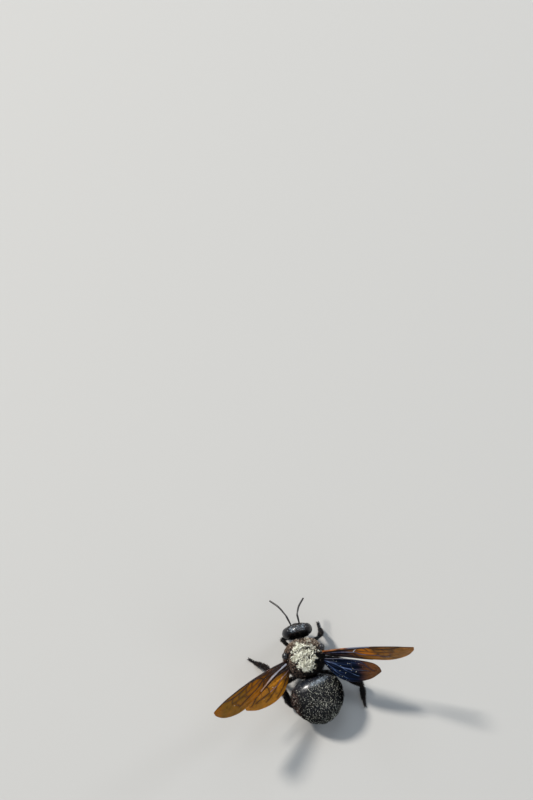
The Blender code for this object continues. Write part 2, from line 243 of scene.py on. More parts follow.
def grow(shape, count, seed, length, width, lift=0.6, droop=0.4, lie=None, density=everywhere,
         tuft=0.5, wild=0.15, tile=(0, 0, 1)):
    """Spikes on a skin. A spike starts at lift radians over the skin towards lie, and bends down by droop.

    lie is a function of the roots that gives directions, or None for the way v grows. length may be
    a function of the roots. tuft and wild say how far neighbours lean together, and each on its own.
    """
    rng = np.random.default_rng(seed)
    u, v = spread_roots(shape, count, rng, density)
    roots, normals, down = frame_at(shape, u, v)
    if lie is not None:
        flow = lie(roots)
        down = unit(flow - normals * (normals * flow).sum(-1, keepdims=True))
    reach = length(roots) if callable(length) else np.full(count, float(length))
    reach = (reach * (1 - RAGGED * rng.random(count)))[:, None]
    start = normals * math.sin(lift) + down * math.cos(lift)
    start = unit(start + tuft * drift(roots, TUFT_SIZE, seed + 1) + wild * rng.normal(size=roots.shape))
    start = unit(start + normals * np.maximum(LEAST_RISE - (start * normals).sum(-1, keepdims=True), 0))
    bend = down * droop - normals * 0.5 * droop * math.sin(lift)
    side = unit(np.cross(start, rng.normal(size=roots.shape)))
    other = np.cross(start, side)
    rings = [side * math.cos(a) + other * math.sin(a) for a in (0, 2 * math.pi / 3, 4 * math.pi / 3)]
    girth = width / 2 * (1 - THINNER * rng.random(count))[:, None]
    middle = roots + reach * (start * 0.5 + bend * 0.125)
    points = np.stack([*(roots - start * ROOT_DEPTH + ring * girth for ring in rings),
                       *(middle + ring * girth * HALFWAY_GIRTH for ring in rings),
                       roots + reach * (start + bend * 0.5)], 1)
    return small_forms(SPIKE, SPIKE_UV, points, u, v, tile)

# %% Pollen as beads
BEAD = np.array([[0, 2, 4], [2, 1, 4], [1, 3, 4], [3, 0, 4],
                 [2, 0, 5], [1, 2, 5], [3, 1, 5], [0, 3, 5]])
BEAD_UV = np.array([[0.5, 0], [-0.5, 0], [0, 0.5], [0, -0.5], [0.1, 0.1], [-0.1, -0.1]])
SMALLEST, MORE = 0.65, 0.7  # the smallest grain, and how much more a grain may be, of the usual size


def grains(shape, count, seed, size, heights, density, group, spread):
    """Pollen grains: eight-sided beads of about size mm, between two heights in mm over a skin.

    They lie in clumps of group beads, each bead some spread mm off its clump's middle.
    """
    rng = np.random.default_rng(seed)
    u, v = (np.repeat(place, group) for place in spread_roots(shape, count // group, rng, density))
    count = len(u)
    roots, normals, _ = frame_at(shape, u, v)
    lowest, highest = heights
    over = lowest + (highest - lowest) * rng.random(count)[:, None]
    centres = roots + normals * over + spread * rng.normal(size=roots.shape)
    arms = unit(rng.normal(size=(count, 3)))
    other = unit(np.cross(arms, rng.normal(size=(count, 3))))
    third = np.cross(arms, other)
    radius = (size / 2 * (SMALLEST + MORE * rng.random(count)))[:, None]
    points = np.stack([centres + sign * arm * radius for arm in (arms, other, third) for sign in (1, -1)], 1)
    return small_forms(BEAD, BEAD_UV, points, u, v)


print("a hair has", len(SPIKE), "triangles and a pollen grain", len(BEAD))

# %% [markdown]
# ## The finishes
# A bee's shell is black because it is thick with pigment, and shiny because it is wax on a smooth
# film, broken by small pits in which hairs stand. Pollen lies over shell and hair alike, so it is
# one node group, placed in each material with its own amount. Colours come from the place on the
# bee, so that a hair matches the skin that it grows from.
# %% Node helpers
def wire(tree, node, inputs):
    """Sets each named input of a node, or links it where a socket is given."""
    for key, value in inputs.items():
        if isinstance(value, bpy.types.NodeSocket):
            tree.links.new(value, node.inputs[key])
        else:
            node.inputs[key].default_value = value


def add_node(tree, kind, inputs=None, **settings):
    """A node with its settings made and its inputs set or linked."""
    made = tree.nodes.new(kind)
    for key, value in settings.items():
        setattr(made, key, value)
    wire(tree, made, inputs or {})
    return made


def use(tree, group, inputs):
    """A node group placed in a material."""
    return add_node(tree, "ShaderNodeGroup", inputs, node_tree=group)


def place_on(tree):
    """The place on the object, in metres."""
    return add_node(tree, "ShaderNodeTexCoord").outputs["Object"]


def parts_of(tree, vector):
    """The three parts of a vector."""
    return add_node(tree, "ShaderNodeSeparateXYZ", {0: vector}).outputs

# %% Sums, noise, ramps and blots
def add_math(tree, operation, first, second, third=0.0, clamp=False):
    """The result of one sum on two or three numbers or sockets."""
    return add_node(tree, "ShaderNodeMath", {0: first, 1: second, 2: third},
                    operation=operation, use_clamp=clamp).outputs[0]


def add_noise(tree, size, detail):
    """Noise whose blobs are about size mm across."""
    return add_node(tree, "ShaderNodeTexNoise",
                    {"Vector": place_on(tree), "Scale": 0.6 / (size * MM), "Detail": detail}).outputs["Fac"]


def add_ramp(tree, value, low, high):
    """0 below low and 1 above high, smooth between; turned over where low is over high."""
    return add_node(tree, "ShaderNodeMapRange", {"Value": value, "From Min": low, "From Max": high},
                    interpolation_type="SMOOTHSTEP").outputs["Result"]


def add_window(tree, value, opening, closing):
    """1 between two ramps: it rises over the opening's two values and falls over the closing's."""
    return add_math(tree, "MULTIPLY", add_ramp(tree, value, *opening), add_ramp(tree, value, *closing[::-1]))


def add_mix(tree, share, first, second):
    """A colour between two, by share."""
    return add_node(tree, "ShaderNodeMix", {0: share, 6: first, 7: second}, data_type="RGBA").outputs[2]


def add_blots(tree, size, span, first, second, detail=3):
    """Blots some size mm across, from a first colour to a second as the noise goes over its span."""
    share = add_ramp(tree, add_noise(tree, size, detail), *span)
    return add_mix(tree, share, (*first, 1), (*second, 1))


def add_bump(tree, shader, height, strength, depth, invert=False):
    """Bumps on a shader, depth mm high where the height goes from 0 to 1."""
    bump = add_node(tree, "ShaderNodeBump",
                    {"Height": height, "Strength": strength, "Distance": depth * MM}, invert=invert)
    wire(tree, shader, {"Normal": bump.outputs["Normal"]})

# %% Groups and materials
def new_group(name, inputs, outputs):
    """An empty node group with named sockets, and its input and output nodes."""
    tree = bpy.data.node_groups.new(name, "ShaderNodeTree")
    for label, kind, value in inputs:
        made = tree.interface.new_socket(name=label, in_out="INPUT", socket_type=kind)
        made.default_value = value
    for label, kind in outputs:
        tree.interface.new_socket(name=label, in_out="OUTPUT", socket_type=kind)
    return tree, tree.nodes.new("NodeGroupInput"), tree.nodes.new("NodeGroupOutput")


def new_material(name, colour, roughness, **sockets):
    """A material with one Principled shader. Returns it, its tree and its shader."""
    made = bpy.data.materials.new(name)
    made.use_nodes = True
    shader = made.node_tree.nodes["Principled BSDF"]
    shader.inputs["Base Color"].default_value = (*colour, 1)
    shader.inputs["Roughness"].default_value = roughness
    for key, value in sockets.items():
        shader.inputs[key.replace("_", " ")].default_value = value
    return made, made.node_tree, shader

# %% The groups that finishes share
POLLEN_PALE = (0.72, 0.71, 0.58)
POLLEN_TAN = (0.30, 0.25, 0.17)
PATCH_CENTRE = THORAX_CENTRE + [0.05, 0.05, 1.2]
PATCH_RADII = np.array([2.55, 2.85, 3.4])
PATCH_TAPER = 0.38  # how much narrower it gets to the rear
PATCH_RISE, PATCH_FADE = 0.9, 1.0  # mm over the thorax's middle: where it starts, and over which it comes in


def make_back_patch():
    """Cover of pollen on the back: 1 inside an egg over the thorax, ragged at its edge, 0 outside it."""
    tree, _, end = new_group("pollen on the back", [], [("Cover", "NodeSocketFloat")])
    place, centre = place_on(tree), (PATCH_CENTRE + BEE_ORIGIN) * MM
    off = add_node(tree, "ShaderNodeVectorMath", {0: place, 1: centre}, operation="SUBTRACT").outputs[0]
    scaled = add_node(tree, "ShaderNodeVectorMath", {0: off, 1: PATCH_RADII * MM}, operation="DIVIDE")
    across, along, over = parts_of(tree, scaled.outputs[0])
    widening = add_math(tree, "MULTIPLY_ADD", add_math(tree, "MAXIMUM", along, 0.0), PATCH_TAPER, 1.0)
    across = add_math(tree, "MULTIPLY", across, widening)
    tapered = add_node(tree, "ShaderNodeCombineXYZ", {0: across, 1: along, 2: over}).outputs[0]
    far = add_node(tree, "ShaderNodeVectorMath", {0: tapered}, operation="LENGTH").outputs["Value"]
    ragged = add_math(tree, "MULTIPLY_ADD", add_noise(tree, 0.6, 3), 0.6, far)
    inside = add_ramp(tree, ragged, 1.36, 1.1)
    start = THORAX_HEIGHT + PATCH_RISE
    up = add_ramp(tree, parts_of(tree, place)["Z"], start * MM, (start + PATCH_FADE) * MM)
    wire(tree, end, {"Cover": add_math(tree, "MULTIPLY", inside, up)})
    return tree


def make_pollen():
    """Lays pollen over a colour: grain-sized spots, more of them as Cover goes from 0 to 1."""
    tree, start, end = new_group(
        "pollen", [("Clean", "NodeSocketColor", (0, 0, 0, 1)), ("Cover", "NodeSocketFloat", 0.1),
                   ("Grain mm", "NodeSocketFloat", 0.14)],
        [("Color", "NodeSocketColor"), ("Mask", "NodeSocketFloat")])
    scale = add_math(tree, "DIVIDE", 0.6 / MM, start.outputs["Grain mm"])
    spots = add_node(tree, "ShaderNodeTexNoise", {"Vector": place_on(tree), "Scale": scale, "Detail": 1.0})
    bar = add_math(tree, "MULTIPLY_ADD", start.outputs["Cover"], -0.34, 0.72)
    edge = {"From Min": bar, "From Max": add_math(tree, "ADD", bar, 0.07)}
    mask = add_node(tree, "ShaderNodeMapRange", {"Value": spots.outputs["Fac"], **edge}).outputs["Result"]
    tone = add_blots(tree, 0.45, (0.38, 0.62), POLLEN_TAN, POLLEN_PALE)
    wire(tree, end, {"Color": add_mix(tree, mask, start.outputs["Clean"], tone), "Mask": mask})
    return tree


def make_pits():
    """Height of a pitted shell: small dents, each about Pit mm wide, over a faint leathery grain."""
    tree, start, end = new_group("pitted shell", [("Pit mm", "NodeSocketFloat", 0.12)],
                                 [("Height", "NodeSocketFloat")])
    scale = add_math(tree, "DIVIDE", 1 / MM, start.outputs["Pit mm"])
    cells = add_node(tree, "ShaderNodeTexVoronoi", {"Vector": place_on(tree), "Scale": scale})
    pit = add_ramp(tree, cells.outputs["Distance"], 0.12, 0.42)
    grain = add_math(tree, "MULTIPLY", add_noise(tree, 0.05, 2), 0.15)
    wire(tree, end, {"Height": add_math(tree, "ADD", pit, grain)})
    return tree


back_patch, pollen, pits = make_back_patch(), make_pollen(), make_pits()
print("node groups:", [group.name for group in (back_patch, pollen, pits)])

# %% [markdown]
# ## Black shell
# One recipe makes every piece of shell. Its gloss is broken by wear and by the pits, and pollen
# makes it rough where it lies. A real bee's second ring and those behind it are duller than the
# first, because each pit there holds a hair, so the recipe can also turn dull behind a line.
# %% The shell
SHELL_BLACK = (0.008, 0.008, 0.010)
SHELL_BROWN = (0.03, 0.026, 0.03)  # where the shell is thin
WEAR, HAIR_PITS, DUST = 0.18, 0.28, 0.5  # what each adds to the roughness of shell


def make_shell(name, pit, cover, roughness, colour=SHELL_BLACK, patch=False, band=None, gloss=0.5):
    """Black shell: pitted, glossy, with a share of pollen, which is rough.

    pit is the width of its pits in mm, and patch adds the pollen on the back. band is the y in mm,
    in the bee's frame, behind which the shell is dull with hair pits.
    """
    made, tree, shader = new_material(name, colour, roughness, Coat_Weight=0.15, Coat_Roughness=0.15,
                                      Specular_IOR_Level=gloss)
    cover = use(tree, back_patch, {}).outputs["Cover"] if patch else cover
    dusty = use(tree, pollen, {"Clean": (*colour, 1), "Cover": cover, "Grain mm": 0.12})
    browner = add_mix(tree, 0.25, dusty.outputs["Color"], (*SHELL_BROWN, 1))
    blots = add_ramp(tree, add_noise(tree, 1.6, 2), 0.35, 0.7)
    worn = add_math(tree, "MULTIPLY_ADD", add_noise(tree, 0.5, 3), WEAR, roughness - WEAR / 2)
    if band is not None:
        line = band + BEE_ORIGIN[1]
        dull = add_ramp(tree, parts_of(tree, place_on(tree))["Y"], (line - 0.3) * MM, (line + 0.5) * MM)
        worn = add_math(tree, "MULTIPLY_ADD", dull, HAIR_PITS, worn)
    wire(tree, shader, {
        "Base Color": add_mix(tree, blots, dusty.outputs["Color"], browner),
        "Roughness": add_math(tree, "MULTIPLY_ADD", dusty.outputs["Mask"], DUST, worn, clamp=True)})
    add_bump(tree, shader, use(tree, pits, {"Pit mm": pit}).outputs["Height"], strength=0.5, depth=0.02)
    return made


thorax_shell = make_shell("thorax shell", pit=0.12, cover=0.0, roughness=0.45, patch=True)
# Its faint blue in the black is painted sheen: the bluish sky light on glossy shell.
belly_shell = make_shell("abdomen shell", pit=0.13, cover=0.05, roughness=0.26, colour=(0.006, 0.009, 0.014),
                         band=WAIST[1] + 2.0)
head_shell = make_shell("head shell", pit=0.16, cover=0.08, roughness=0.28, gloss=1.0)
leg_shell = make_shell("leg shell", pit=0.09, cover=0.05, roughness=0.28)
print("shells made:", [made.name for made in (thorax_shell, belly_shell, head_shell, leg_shell)])

# %% [markdown]
# ## Black coat
# The hair is black to brown-black in patches, with brown tufts in a collar ahead of the wings. On the
# left flank, where the key light falls, its tufts are painted brown: painted light. Dusted hairs are
# matt and pale, and pale blue bristles are painted glints.
# %% The coat
COLLAR = ((-3.7, -2.9), (-2.4, -1.0))  # the y in mm between which it comes in, and then goes out


def make_coat(name, dark, brown, roughness=0.5, cover=0.0, patch=False, collar=None, lit_flank=None, gloss=0.2):
    """Hair: from dark to brown by the place, with pollen caught in it.

    collar is the colour of tufts ahead of the wings, but not at the neck. The flank setting is (colour,
    from x, to x) of painted light on the left: tufts painted brown where the key light falls.
    """
    made, tree, shader = new_material(name, dark, roughness, Specular_IOR_Level=gloss)
    tone = add_blots(tree, 0.35, (0.42, 0.66), dark, brown)
    place = parts_of(tree, place_on(tree))
    tufts = add_ramp(tree, add_noise(tree, 0.25, 2), 0.42, 0.62)
    if lit_flank is not None:
        colour, start, end = lit_flank
        side = add_ramp(tree, place["X"], (BEE_ORIGIN[0] + start) * MM, (BEE_ORIGIN[0] + end) * MM)
        tone = add_mix(tree, add_math(tree, "MULTIPLY", tufts, side), tone, (*colour, 1))
    if collar is not None:
        spans = [[(BEE_ORIGIN[1] + y) * MM for y in span] for span in COLLAR]
        front = add_window(tree, place["Y"], *spans)
        tone = add_mix(tree, add_math(tree, "MULTIPLY", tufts, front), tone, (*collar, 1))
    if patch:
        cover = add_math(tree, "MULTIPLY", use(tree, back_patch, {}).outputs["Cover"], 0.4)
    dusty = use(tree, pollen, {"Clean": tone, "Cover": cover, "Grain mm": 0.2})
    wire(tree, shader, {
        "Base Color": dusty.outputs["Color"],
        "Roughness": add_math(tree, "MULTIPLY_ADD", dusty.outputs["Mask"], 0.3, roughness, clamp=True)})
    return made


# The left flank's brown tufts are painted light, on the side where the key light falls.
back_coat = make_coat("back coat", (0.006, 0.006, 0.006), (0.022, 0.015, 0.012), patch=True,
                      collar=(0.24, 0.16, 0.11), lit_flank=((0.27, 0.185, 0.14), 0.2, 2.2))
dusted_coat = make_coat("dusted coat", (0.10, 0.09, 0.065), (0.50, 0.48, 0.38), roughness=0.8)
# Its left flank's brown tufts are painted light too.
belly_coat = make_coat("belly coat", (0.004, 0.004, 0.005), (0.014, 0.012, 0.011), roughness=0.6,
                       cover=0.04, gloss=0.03, lit_flank=((0.20, 0.13, 0.11), 2.6, 4.0))
# Pale blue hairs that are painted glints.
glint_coat = make_coat("coat with painted glints", (0.12, 0.145, 0.17), (0.56, 0.63, 0.70), roughness=0.35)
black_coat = make_coat("black coat", (0.008, 0.007, 0.008), (0.030, 0.018, 0.014), cover=0.04)
print("coats made:", [made.name for made in (back_coat, dusted_coat, belly_coat, glint_coat, black_coat)])

# %% [markdown]
# ## The thorax
# The thorax is a box of flight muscle, and its shell can't be seen for hair. The skin is the same
# tipped egg as the solid's, drawn in by the coat's depth. The hairs stand nearly upright on the
# back, like the pile of a carpet, and lean rearwards below it.
# %% Thorax
COAT_DEPTH = 0.62
THORAX_HAIR = 0.05  # the width of its hairs, in mm


def signed_power(value, power):
    """The value's size to a power, with its own sign kept."""
    return np.sign(value) * np.abs(value) ** power


def thorax(u, v):
    """A slightly square egg: u round it, v from its front to its rear; then tipped up at the front."""
    x, z, y = unit_ball(u, v)
    half = THORAX_SIZE / 2 - COAT_DEPTH
    local = np.stack([signed_power(x, 0.92) * (1 - 0.10 * y**2) * half[0],
                      signed_power(y, 0.88) * half[1], signed_power(z, 0.92) * half[2]], -1)
    tip = np.array([[1, 0, 0], [0, math.cos(THORAX_PITCH), math.sin(THORAX_PITCH)],
                    [0, -math.sin(THORAX_PITCH), math.cos(THORAX_PITCH)]])
    return THORAX_CENTRE + local @ tip.T


add_piece("thorax_skin", skin(thorax, 96, 64), thorax_shell, ["thorax"])

# %% The coat of the thorax
def thorax_length(points):
    """Hair length in mm: short on the back's middle, longer on the flanks and below."""
    under = np.clip((THORAX_HEIGHT + 1.5 - points[:, 2]) / 3.5, 0, 1)
    return 0.62 + 0.35 * under


def upper(points, u, v):
    """1 over the upper half of the thorax, falling to nothing below it."""
    return np.clip((points[..., 2] - THORAX_HEIGHT + 1.2) / 0.8, 0, 1)


def lower(points, u, v):
    """What the upper coat leaves."""
    return 1.02 - upper(points, u, v)


for label, side, seed in (("left", 1, 11), ("right", -1, 12)):
    def upper_half(points, u, v, side=side):
        """The upper coat of one side of the back."""
        return upper(points, u, v) * (side * points[..., 0] > 0)

    pile = grow(thorax, count=15000, seed=seed, length=thorax_length, width=THORAX_HAIR, lift=1.05,
                droop=0.5, wild=0.22, density=upper_half)
    add_piece(f"thorax_coat_{label}", pile, back_coat)

underfur = grow(thorax, count=14000, seed=13, length=thorax_length, width=THORAX_HAIR, lift=0.7,
                droop=0.5, density=lower)
add_piece("thorax_coat_below", underfur, black_coat)

# %% [markdown]
# ## Pollen on the back
# The grains are beads of a tenth of a millimetre, far bigger than life but small enough to read as
# dust. They cling in clumps among the hairs, so they are spread between the skin and the hairs'
# tips, and short dusted hairs stand between them. Small gaps between the clumps show the dark pile.
# Loose grains lie round the patch, most of them ahead of it on the right.
# %% Where pollen lies on the back
def from_patch(points):
    """Distance from the patch's middle, 1 at its edge: an egg's formula, its width less towards the rear."""
    local = (points - PATCH_CENTRE) / PATCH_RADII
    local[..., 0] *= 1 + PATCH_TAPER * np.maximum(local[..., 1], 0)
    return np.linalg.norm(local, axis=-1)


def on_patch(points):
    """How deep in pollen a point of the back is, from 0 to 1: a ragged egg."""
    far = from_patch(points) + 0.12 * drift_at(points, 0.8, seed=9)
    rise = np.clip((points[..., 2] - THORAX_HEIGHT - PATCH_RISE) / PATCH_FADE, 0, 1)
    return np.clip((1.02 - far) / 0.12, 0, 1) * rise


def dusted(points, u, v):
    """Pollen all over the patch but for small gaps where the dark pile shows; less at its front corners."""
    local = points - PATCH_CENTRE
    gaps = drift_at(points, 0.38, seed=14)
    right_corner = np.clip(-(local[..., 0] + 0.7 * local[..., 1]) / 2.2, 0, 1)
    left_corner = np.clip((local[..., 0] - local[..., 1] - 2.9) / 0.6, 0, 1)
    return (on_patch(points) * np.clip((gaps + 0.25) / 0.2, 0.03, 1)
            * (1 - 0.7 * right_corner) * (1 - 0.9 * left_corner))


def strayed(points, u, v):
    """Loose grains round the patch: few behind it and at its sides, many in front of it on the right."""
    local = points - PATCH_CENTRE
    ahead = np.clip((-0.6 * local[..., 0] - 1.3 * local[..., 1] - 1.0) / 2.5, 0, 1)
    left = np.clip(local[..., 0] - 0.8 * local[..., 1], 0, 2)
    off_neck = np.clip((local[..., 1] + 3.2) / 0.5, 0.05, 1)
    return (np.clip((1.5 - from_patch(points)) / 0.35, 0, 1) * (0.02 + ahead + 0.05 * left) * off_neck
            * (points[..., 2] > THORAX_HEIGHT + PATCH_RISE))

# %% Pollen grains
def make_dust(name, tan, pale, blot):
    """Pollen grains: matt, from tan to pale in blots of some blot mm."""
    made, tree, shader = new_material(name, pale, 0.8, Specular_IOR_Level=0.2)
    wire(tree, shader, {"Base Color": add_blots(tree, blot, (0.4, 0.6), tan, pale)})
    return made


back_dust = make_dust("pollen on the back", (0.50, 0.48, 0.37), (0.99, 0.98, 0.86), 0.25)
stray_dust = make_dust("loose pollen", (0.26, 0.18, 0.13), (0.68, 0.58, 0.47), 0.35)
belly_dust = make_dust("pollen on the abdomen", (0.12, 0.115, 0.10), (0.88, 0.87, 0.74), 0.25)
caked = grains(thorax, count=11400, seed=21, size=0.095, heights=(0.44, 0.62), density=dusted,
               group=14, spread=0.05)
add_piece("thorax_pollen", caked, back_dust)
loose = grains(thorax, count=1200, seed=23, size=0.085, heights=(0.4, 0.6), density=strayed,
               group=4, spread=0.05)
add_piece("thorax_stray_pollen", loose, stray_dust)
dusted_hair = grow(thorax, count=5000, seed=22, length=0.56, width=0.1, lift=1.25, droop=0.3,
                   tuft=0.4, wild=0.25, density=dusted)
add_piece("thorax_dusted_coat", dusted_hair, dusted_coat)

# %% [markdown]
# ## The abdomen
# Six rings of shell slide into one another like a telescope, each overlapping the next by its rear
# edge. One skin carries them all: its girth swells a little along each ring and drops at the rear
# edge, and extra rows of points on both sides of each edge keep the step crisp. The whole abdomen
# is turned a little to the right about the waist.
# %% The abdomen's shape
ABDOMEN_COAT = 0.22
RIM = 0.12  # how far a ring's rear edge stands over the next ring
EVEN_ROWS, AHEAD_OF_EDGE, BEHIND_EDGE = 111, 1e-4, 4e-3


def abdomen_axis(t):
    """The point at share t of the length on an arc that droops more and more, and its upward normal."""
    turn = DROOP_AT_TIP - DROOP_AT_WAIST
    droop = DROOP_AT_WAIST + turn * t
    run = (np.sin(droop) - math.sin(DROOP_AT_WAIST)) / turn * ABDOMEN_LENGTH
    fall = (np.cos(droop) - math.cos(DROOP_AT_WAIST)) / turn * ABDOMEN_LENGTH
    point = np.stack([np.zeros_like(t), run, fall], -1) + WAIST
    return point, np.stack([np.zeros_like(t), np.sin(droop), np.cos(droop)], -1)


def swung(place):
    """A place on the straight abdomen, turned with it about the waist."""
    x, y, z = np.moveaxis(place - WAIST, -1, 0)
    cosine, sine = math.cos(ABDOMEN_SWING), math.sin(ABDOMEN_SWING)
    return WAIST + np.stack([x * cosine - y * sine, x * sine + y * cosine, z], -1)


def abdomen(u, v):
    """An egg bent along its axis: u round it, v from the waist to the tip, with a step at each ring."""
    t = np.clip((1 - np.cos(np.pi * v)) / 2, 0, 1)
    ring = np.clip(np.searchsorted(RING_ENDS, t, side="right") - 1, 0, len(RING_ENDS) - 2)
    share = (t - RING_ENDS[ring]) / (RING_ENDS[ring + 1] - RING_ENDS[ring])
    depth = ABDOMEN_COAT - RIM * share**2 * (ring < len(RING_ENDS) - 2)
    point, back = abdomen_axis(t)
    q = t**0.75
    girth = np.clip(4 * q * (1 - q), 0, 1) ** 0.45
    across, up = np.cos(2 * np.pi * u), np.sin(2 * np.pi * u)
    rise = np.where(up > 0, BACK_HEIGHT, BELLY_DEPTH) - depth
    side = (across * (ABDOMEN_WIDTH / 2 - depth) * girth)[..., None] * [1, 0, 0]
    return swung(point + side + back * (up * rise * girth)[..., None])


edges = np.arccos(1 - 2 * RING_ENDS[1:-1]) / np.pi
rows = np.unique(np.concatenate([np.linspace(0, 1, EVEN_ROWS), edges - AHEAD_OF_EDGE, edges + BEHIND_EDGE]))
add_piece("abdomen_skin", skin(abdomen, 150, 0, rows=rows), belly_shell,
          [f"abdomen_ring_{k}" for k in range(1, 7)])

# %% [markdown]
# ## Hair and pollen on the abdomen
# The smooth front of the abdomen is nearly bare and shines. Behind it short hairs stand in the pits,
# longer at the sides and the rear, and pollen clings to them from the first ring's rear edge on.
# %% The coat of the abdomen
MIDWAY = 0.52  # the v at which one half of the coat ends and the other starts


def beside(points):
    """How far points lie to the left of the abdomen's middle, in mm."""
    local = points - WAIST
    return local[..., 0] * math.cos(ABDOMEN_SWING) + local[..., 1] * math.sin(ABDOMEN_SWING)


def fringe(points, u, v):
    """More hair at the sides and the rear than on the middle of the back, none on the smooth front."""
    side = np.abs(np.cos(2 * np.pi * u))
    front = np.clip((v - 0.22) / 0.1, 0, 1)
    return (0.7 + 0.5 * side**3 + np.clip(v - 0.7, 0, 1)) * (0.08 + 0.92 * front)


def fringe_length(points):
    """0.26 mm on the back, longer where the abdomen turns under at its sides and behind."""
    out = np.clip((np.abs(beside(points)) - 3.4) / 1.4, 0, 1)
    behind = np.clip((points[:, 1] - 10.5) / 2, 0, 1)
    return 0.26 + 0.36 * np.maximum(out, behind)


for label, rear, seed in (("front", False, 31), ("rear", True, 32)):
    def half_fringe(points, u, v, rear=rear):
        """The fringe of one half of the abdomen."""
        return fringe(points, u, v) * ((v > MIDWAY) == rear)

    hair = grow(abdomen, count=16500, seed=seed, length=fringe_length, width=0.035, lift=0.42,
                droop=0.2, tuft=0.35, wild=0.25, density=half_fringe)
    add_piece(f"abdomen_coat_{label}", hair, belly_coat)

# %% Pollen and glints on the abdomen
def specks(points, u, v):
    """Pollen on the upper side of the abdomen behind its smooth front, most on the right of its middle."""
    drifts = np.clip(0.9 + 0.5 * drift_at(points, 1.6, seed=5), 0.4, 1.3)
    middle = 0.35 + 0.65 * np.exp(-((beside(points) + 0.8) / 2.6) ** 2)
    behind = 1 + 1.6 * np.clip((v - 0.6) / 0.2, 0, 1)
    return (v > 0.24) * np.clip(np.sin(2 * np.pi * u) + 0.4, 0, 1) * drifts * middle * behind


def glints(points, u, v):
    """Painted glints: pale bluish bristles in a band over the rear of the first ring, from its middle to the
    right.
    """
    side = beside(points)
    band = np.exp(-((v - 0.22 - 0.01 * side) / 0.03) ** 2)
    return band * np.exp(-((side + 0.9) / 1.5) ** 4) * (np.sin(2 * np.pi * u) > 0)


flecks = grains(abdomen, count=4800, seed=33, size=0.08, heights=(0.06, 0.16), density=specks,
                group=4, spread=0.03)
add_piece("abdomen_pollen", flecks, belly_dust)
# Painted glints: pale blue bristles on the first ring.
bristles = grow(abdomen, count=1000, seed=34, length=0.24, width=0.05, lift=0.4, droop=0.2,
                wild=0.5, density=glints)
add_piece("abdomen_glint_bristles", bristles, glint_coat)

# %% [markdown]
# ## The head
# The head hangs under a short neck with its face to the front. Its skin is a squarish egg, broad
# between the eyes and narrow at the jaws, and the features of the face are low hills and hollows
# added to it: the shield over the jaws, the ridge over that, the sockets of the feelers and the
# raised patch on top that carries three simple eyes. Its poles are hidden under the big eyes.
# %% Head
HEAD_COAT = 0.12
HILLS = [  # x, z, half width, half height and rise of each feature of the face, from the head's centre
    (0.0, -1.35, 1.25, 0.75, 0.26),   # the shield
    (0.0, -0.35, 0.55, 0.55, 0.12),   # the ridge over it
    (0.75, 0.15, 0.30, 0.34, -0.16),  # the sockets
    (-0.75, 0.15, 0.30, 0.34, -0.16),
    (0.0, 1.0, 0.10, 0.9, -0.06),     # the seam of the brow
    (1.35, -1.2, 0.35, 0.7, 0.06),    # the cheeks
    (-1.35, -1.2, 0.35, 0.7, 0.06),
]
CROWN_RISE = 0.07  # of the patch under the simple eyes


def head(u, v):
    """A squarish egg with hills: v runs from right to left, u round the line between the eyes."""
    z, y, x = unit_ball(u, v)
    narrowing = 1 - 0.20 * np.maximum(0, -z) ** 2
    depth = np.where(y < 0, FACE_DEPTH, NAPE_DEPTH) - HEAD_COAT
    base = np.stack([x * (HEAD_WIDTH / 2 - HEAD_COAT) * narrowing, signed_power(y, 0.85) * depth,
                     signed_power(z, 0.95) * (HEAD_HEIGHT / 2 - HEAD_COAT)], -1)
    face = np.clip(-y * 2.2, 0, 1)
    rise = np.zeros_like(x)
    for hill_x, hill_z, wide, tall, high in HILLS:
        far = ((base[..., 0] - hill_x) / wide) ** 2 + ((base[..., 2] - hill_z) / tall) ** 2
        rise = rise + high * np.exp(-(far**1.6)) * face
    crown = np.exp(-(base[..., 0] / 0.75) ** 2 - ((base[..., 1] + 0.1) / 0.6) ** 2) * (z > 0)
    out = unit(base / [1, 0.5, 1])
    return HEAD_CENTRE + base + out * (rise + CROWN_RISE * crown)[..., None]


add_piece("head_skin", skin(head, 150, 120), head_shell, ["head"])

# %% [markdown]
# ## The eyes
# A big eye is thousands of six-sided lenses, each a fiftieth of a millimetre over black pigment. It
# looks polished, with a soft grain, so it gets a clear coat over a fine net of bumps. The brown
# mottling deep in it is only just seen.
# %% The big eyes
EYE_LEAN = 8  # degrees by which the top of an eye leans in
LENS_PITCH = 0.06  # mm, wider than life so that the net can be seen


def make_eye_finish():
    """Black-brown eye: lenses as a fine bump under a clear coat."""
    made, tree, shader = new_material("compound eye", SHELL_BLACK, 0.4, Coat_Weight=0.25,
                                      Coat_Roughness=0.1, Specular_IOR_Level=0.2)
    mottling = add_blots(tree, 0.9, (0.35, 0.7), (0.004, 0.005, 0.009), (0.014, 0.011, 0.011), detail=2)
    wire(tree, shader, {"Base Color": mottling})
    lens = add_node(tree, "ShaderNodeTexVoronoi", {"Vector": place_on(tree), "Scale": 1 / (LENS_PITCH * MM)})
    add_bump(tree, shader, lens.outputs["Distance"], strength=0.6, depth=0.012, invert=True)
    return made


def big_eye(side):
    """shape(u, v) of the big eye: a tall bean on the side of the head whose top leans in."""
    def shape(u, v):
        """u round the eye, v from its top to its bottom."""
        x, y, down = unit_ball(u, v)
        x, y, z = np.array([x, y, -down]) * EYE_RADII[:, None, None]
        waist = 0.10 * np.exp(-((z - 0.2) / 0.7) ** 2) * np.clip(-side * x / EYE_RADII[0], 0, 1)
        x = x + side * waist
        lean = math.radians(-EYE_LEAN * side)
        cosine, sine = math.cos(lean), math.sin(lean)
        place = np.stack([x * cosine + z * sine, y, -x * sine + z * cosine], -1)
        return HEAD_CENTRE + EYE_CENTRE * [side, 1, 1] + place
    return shape


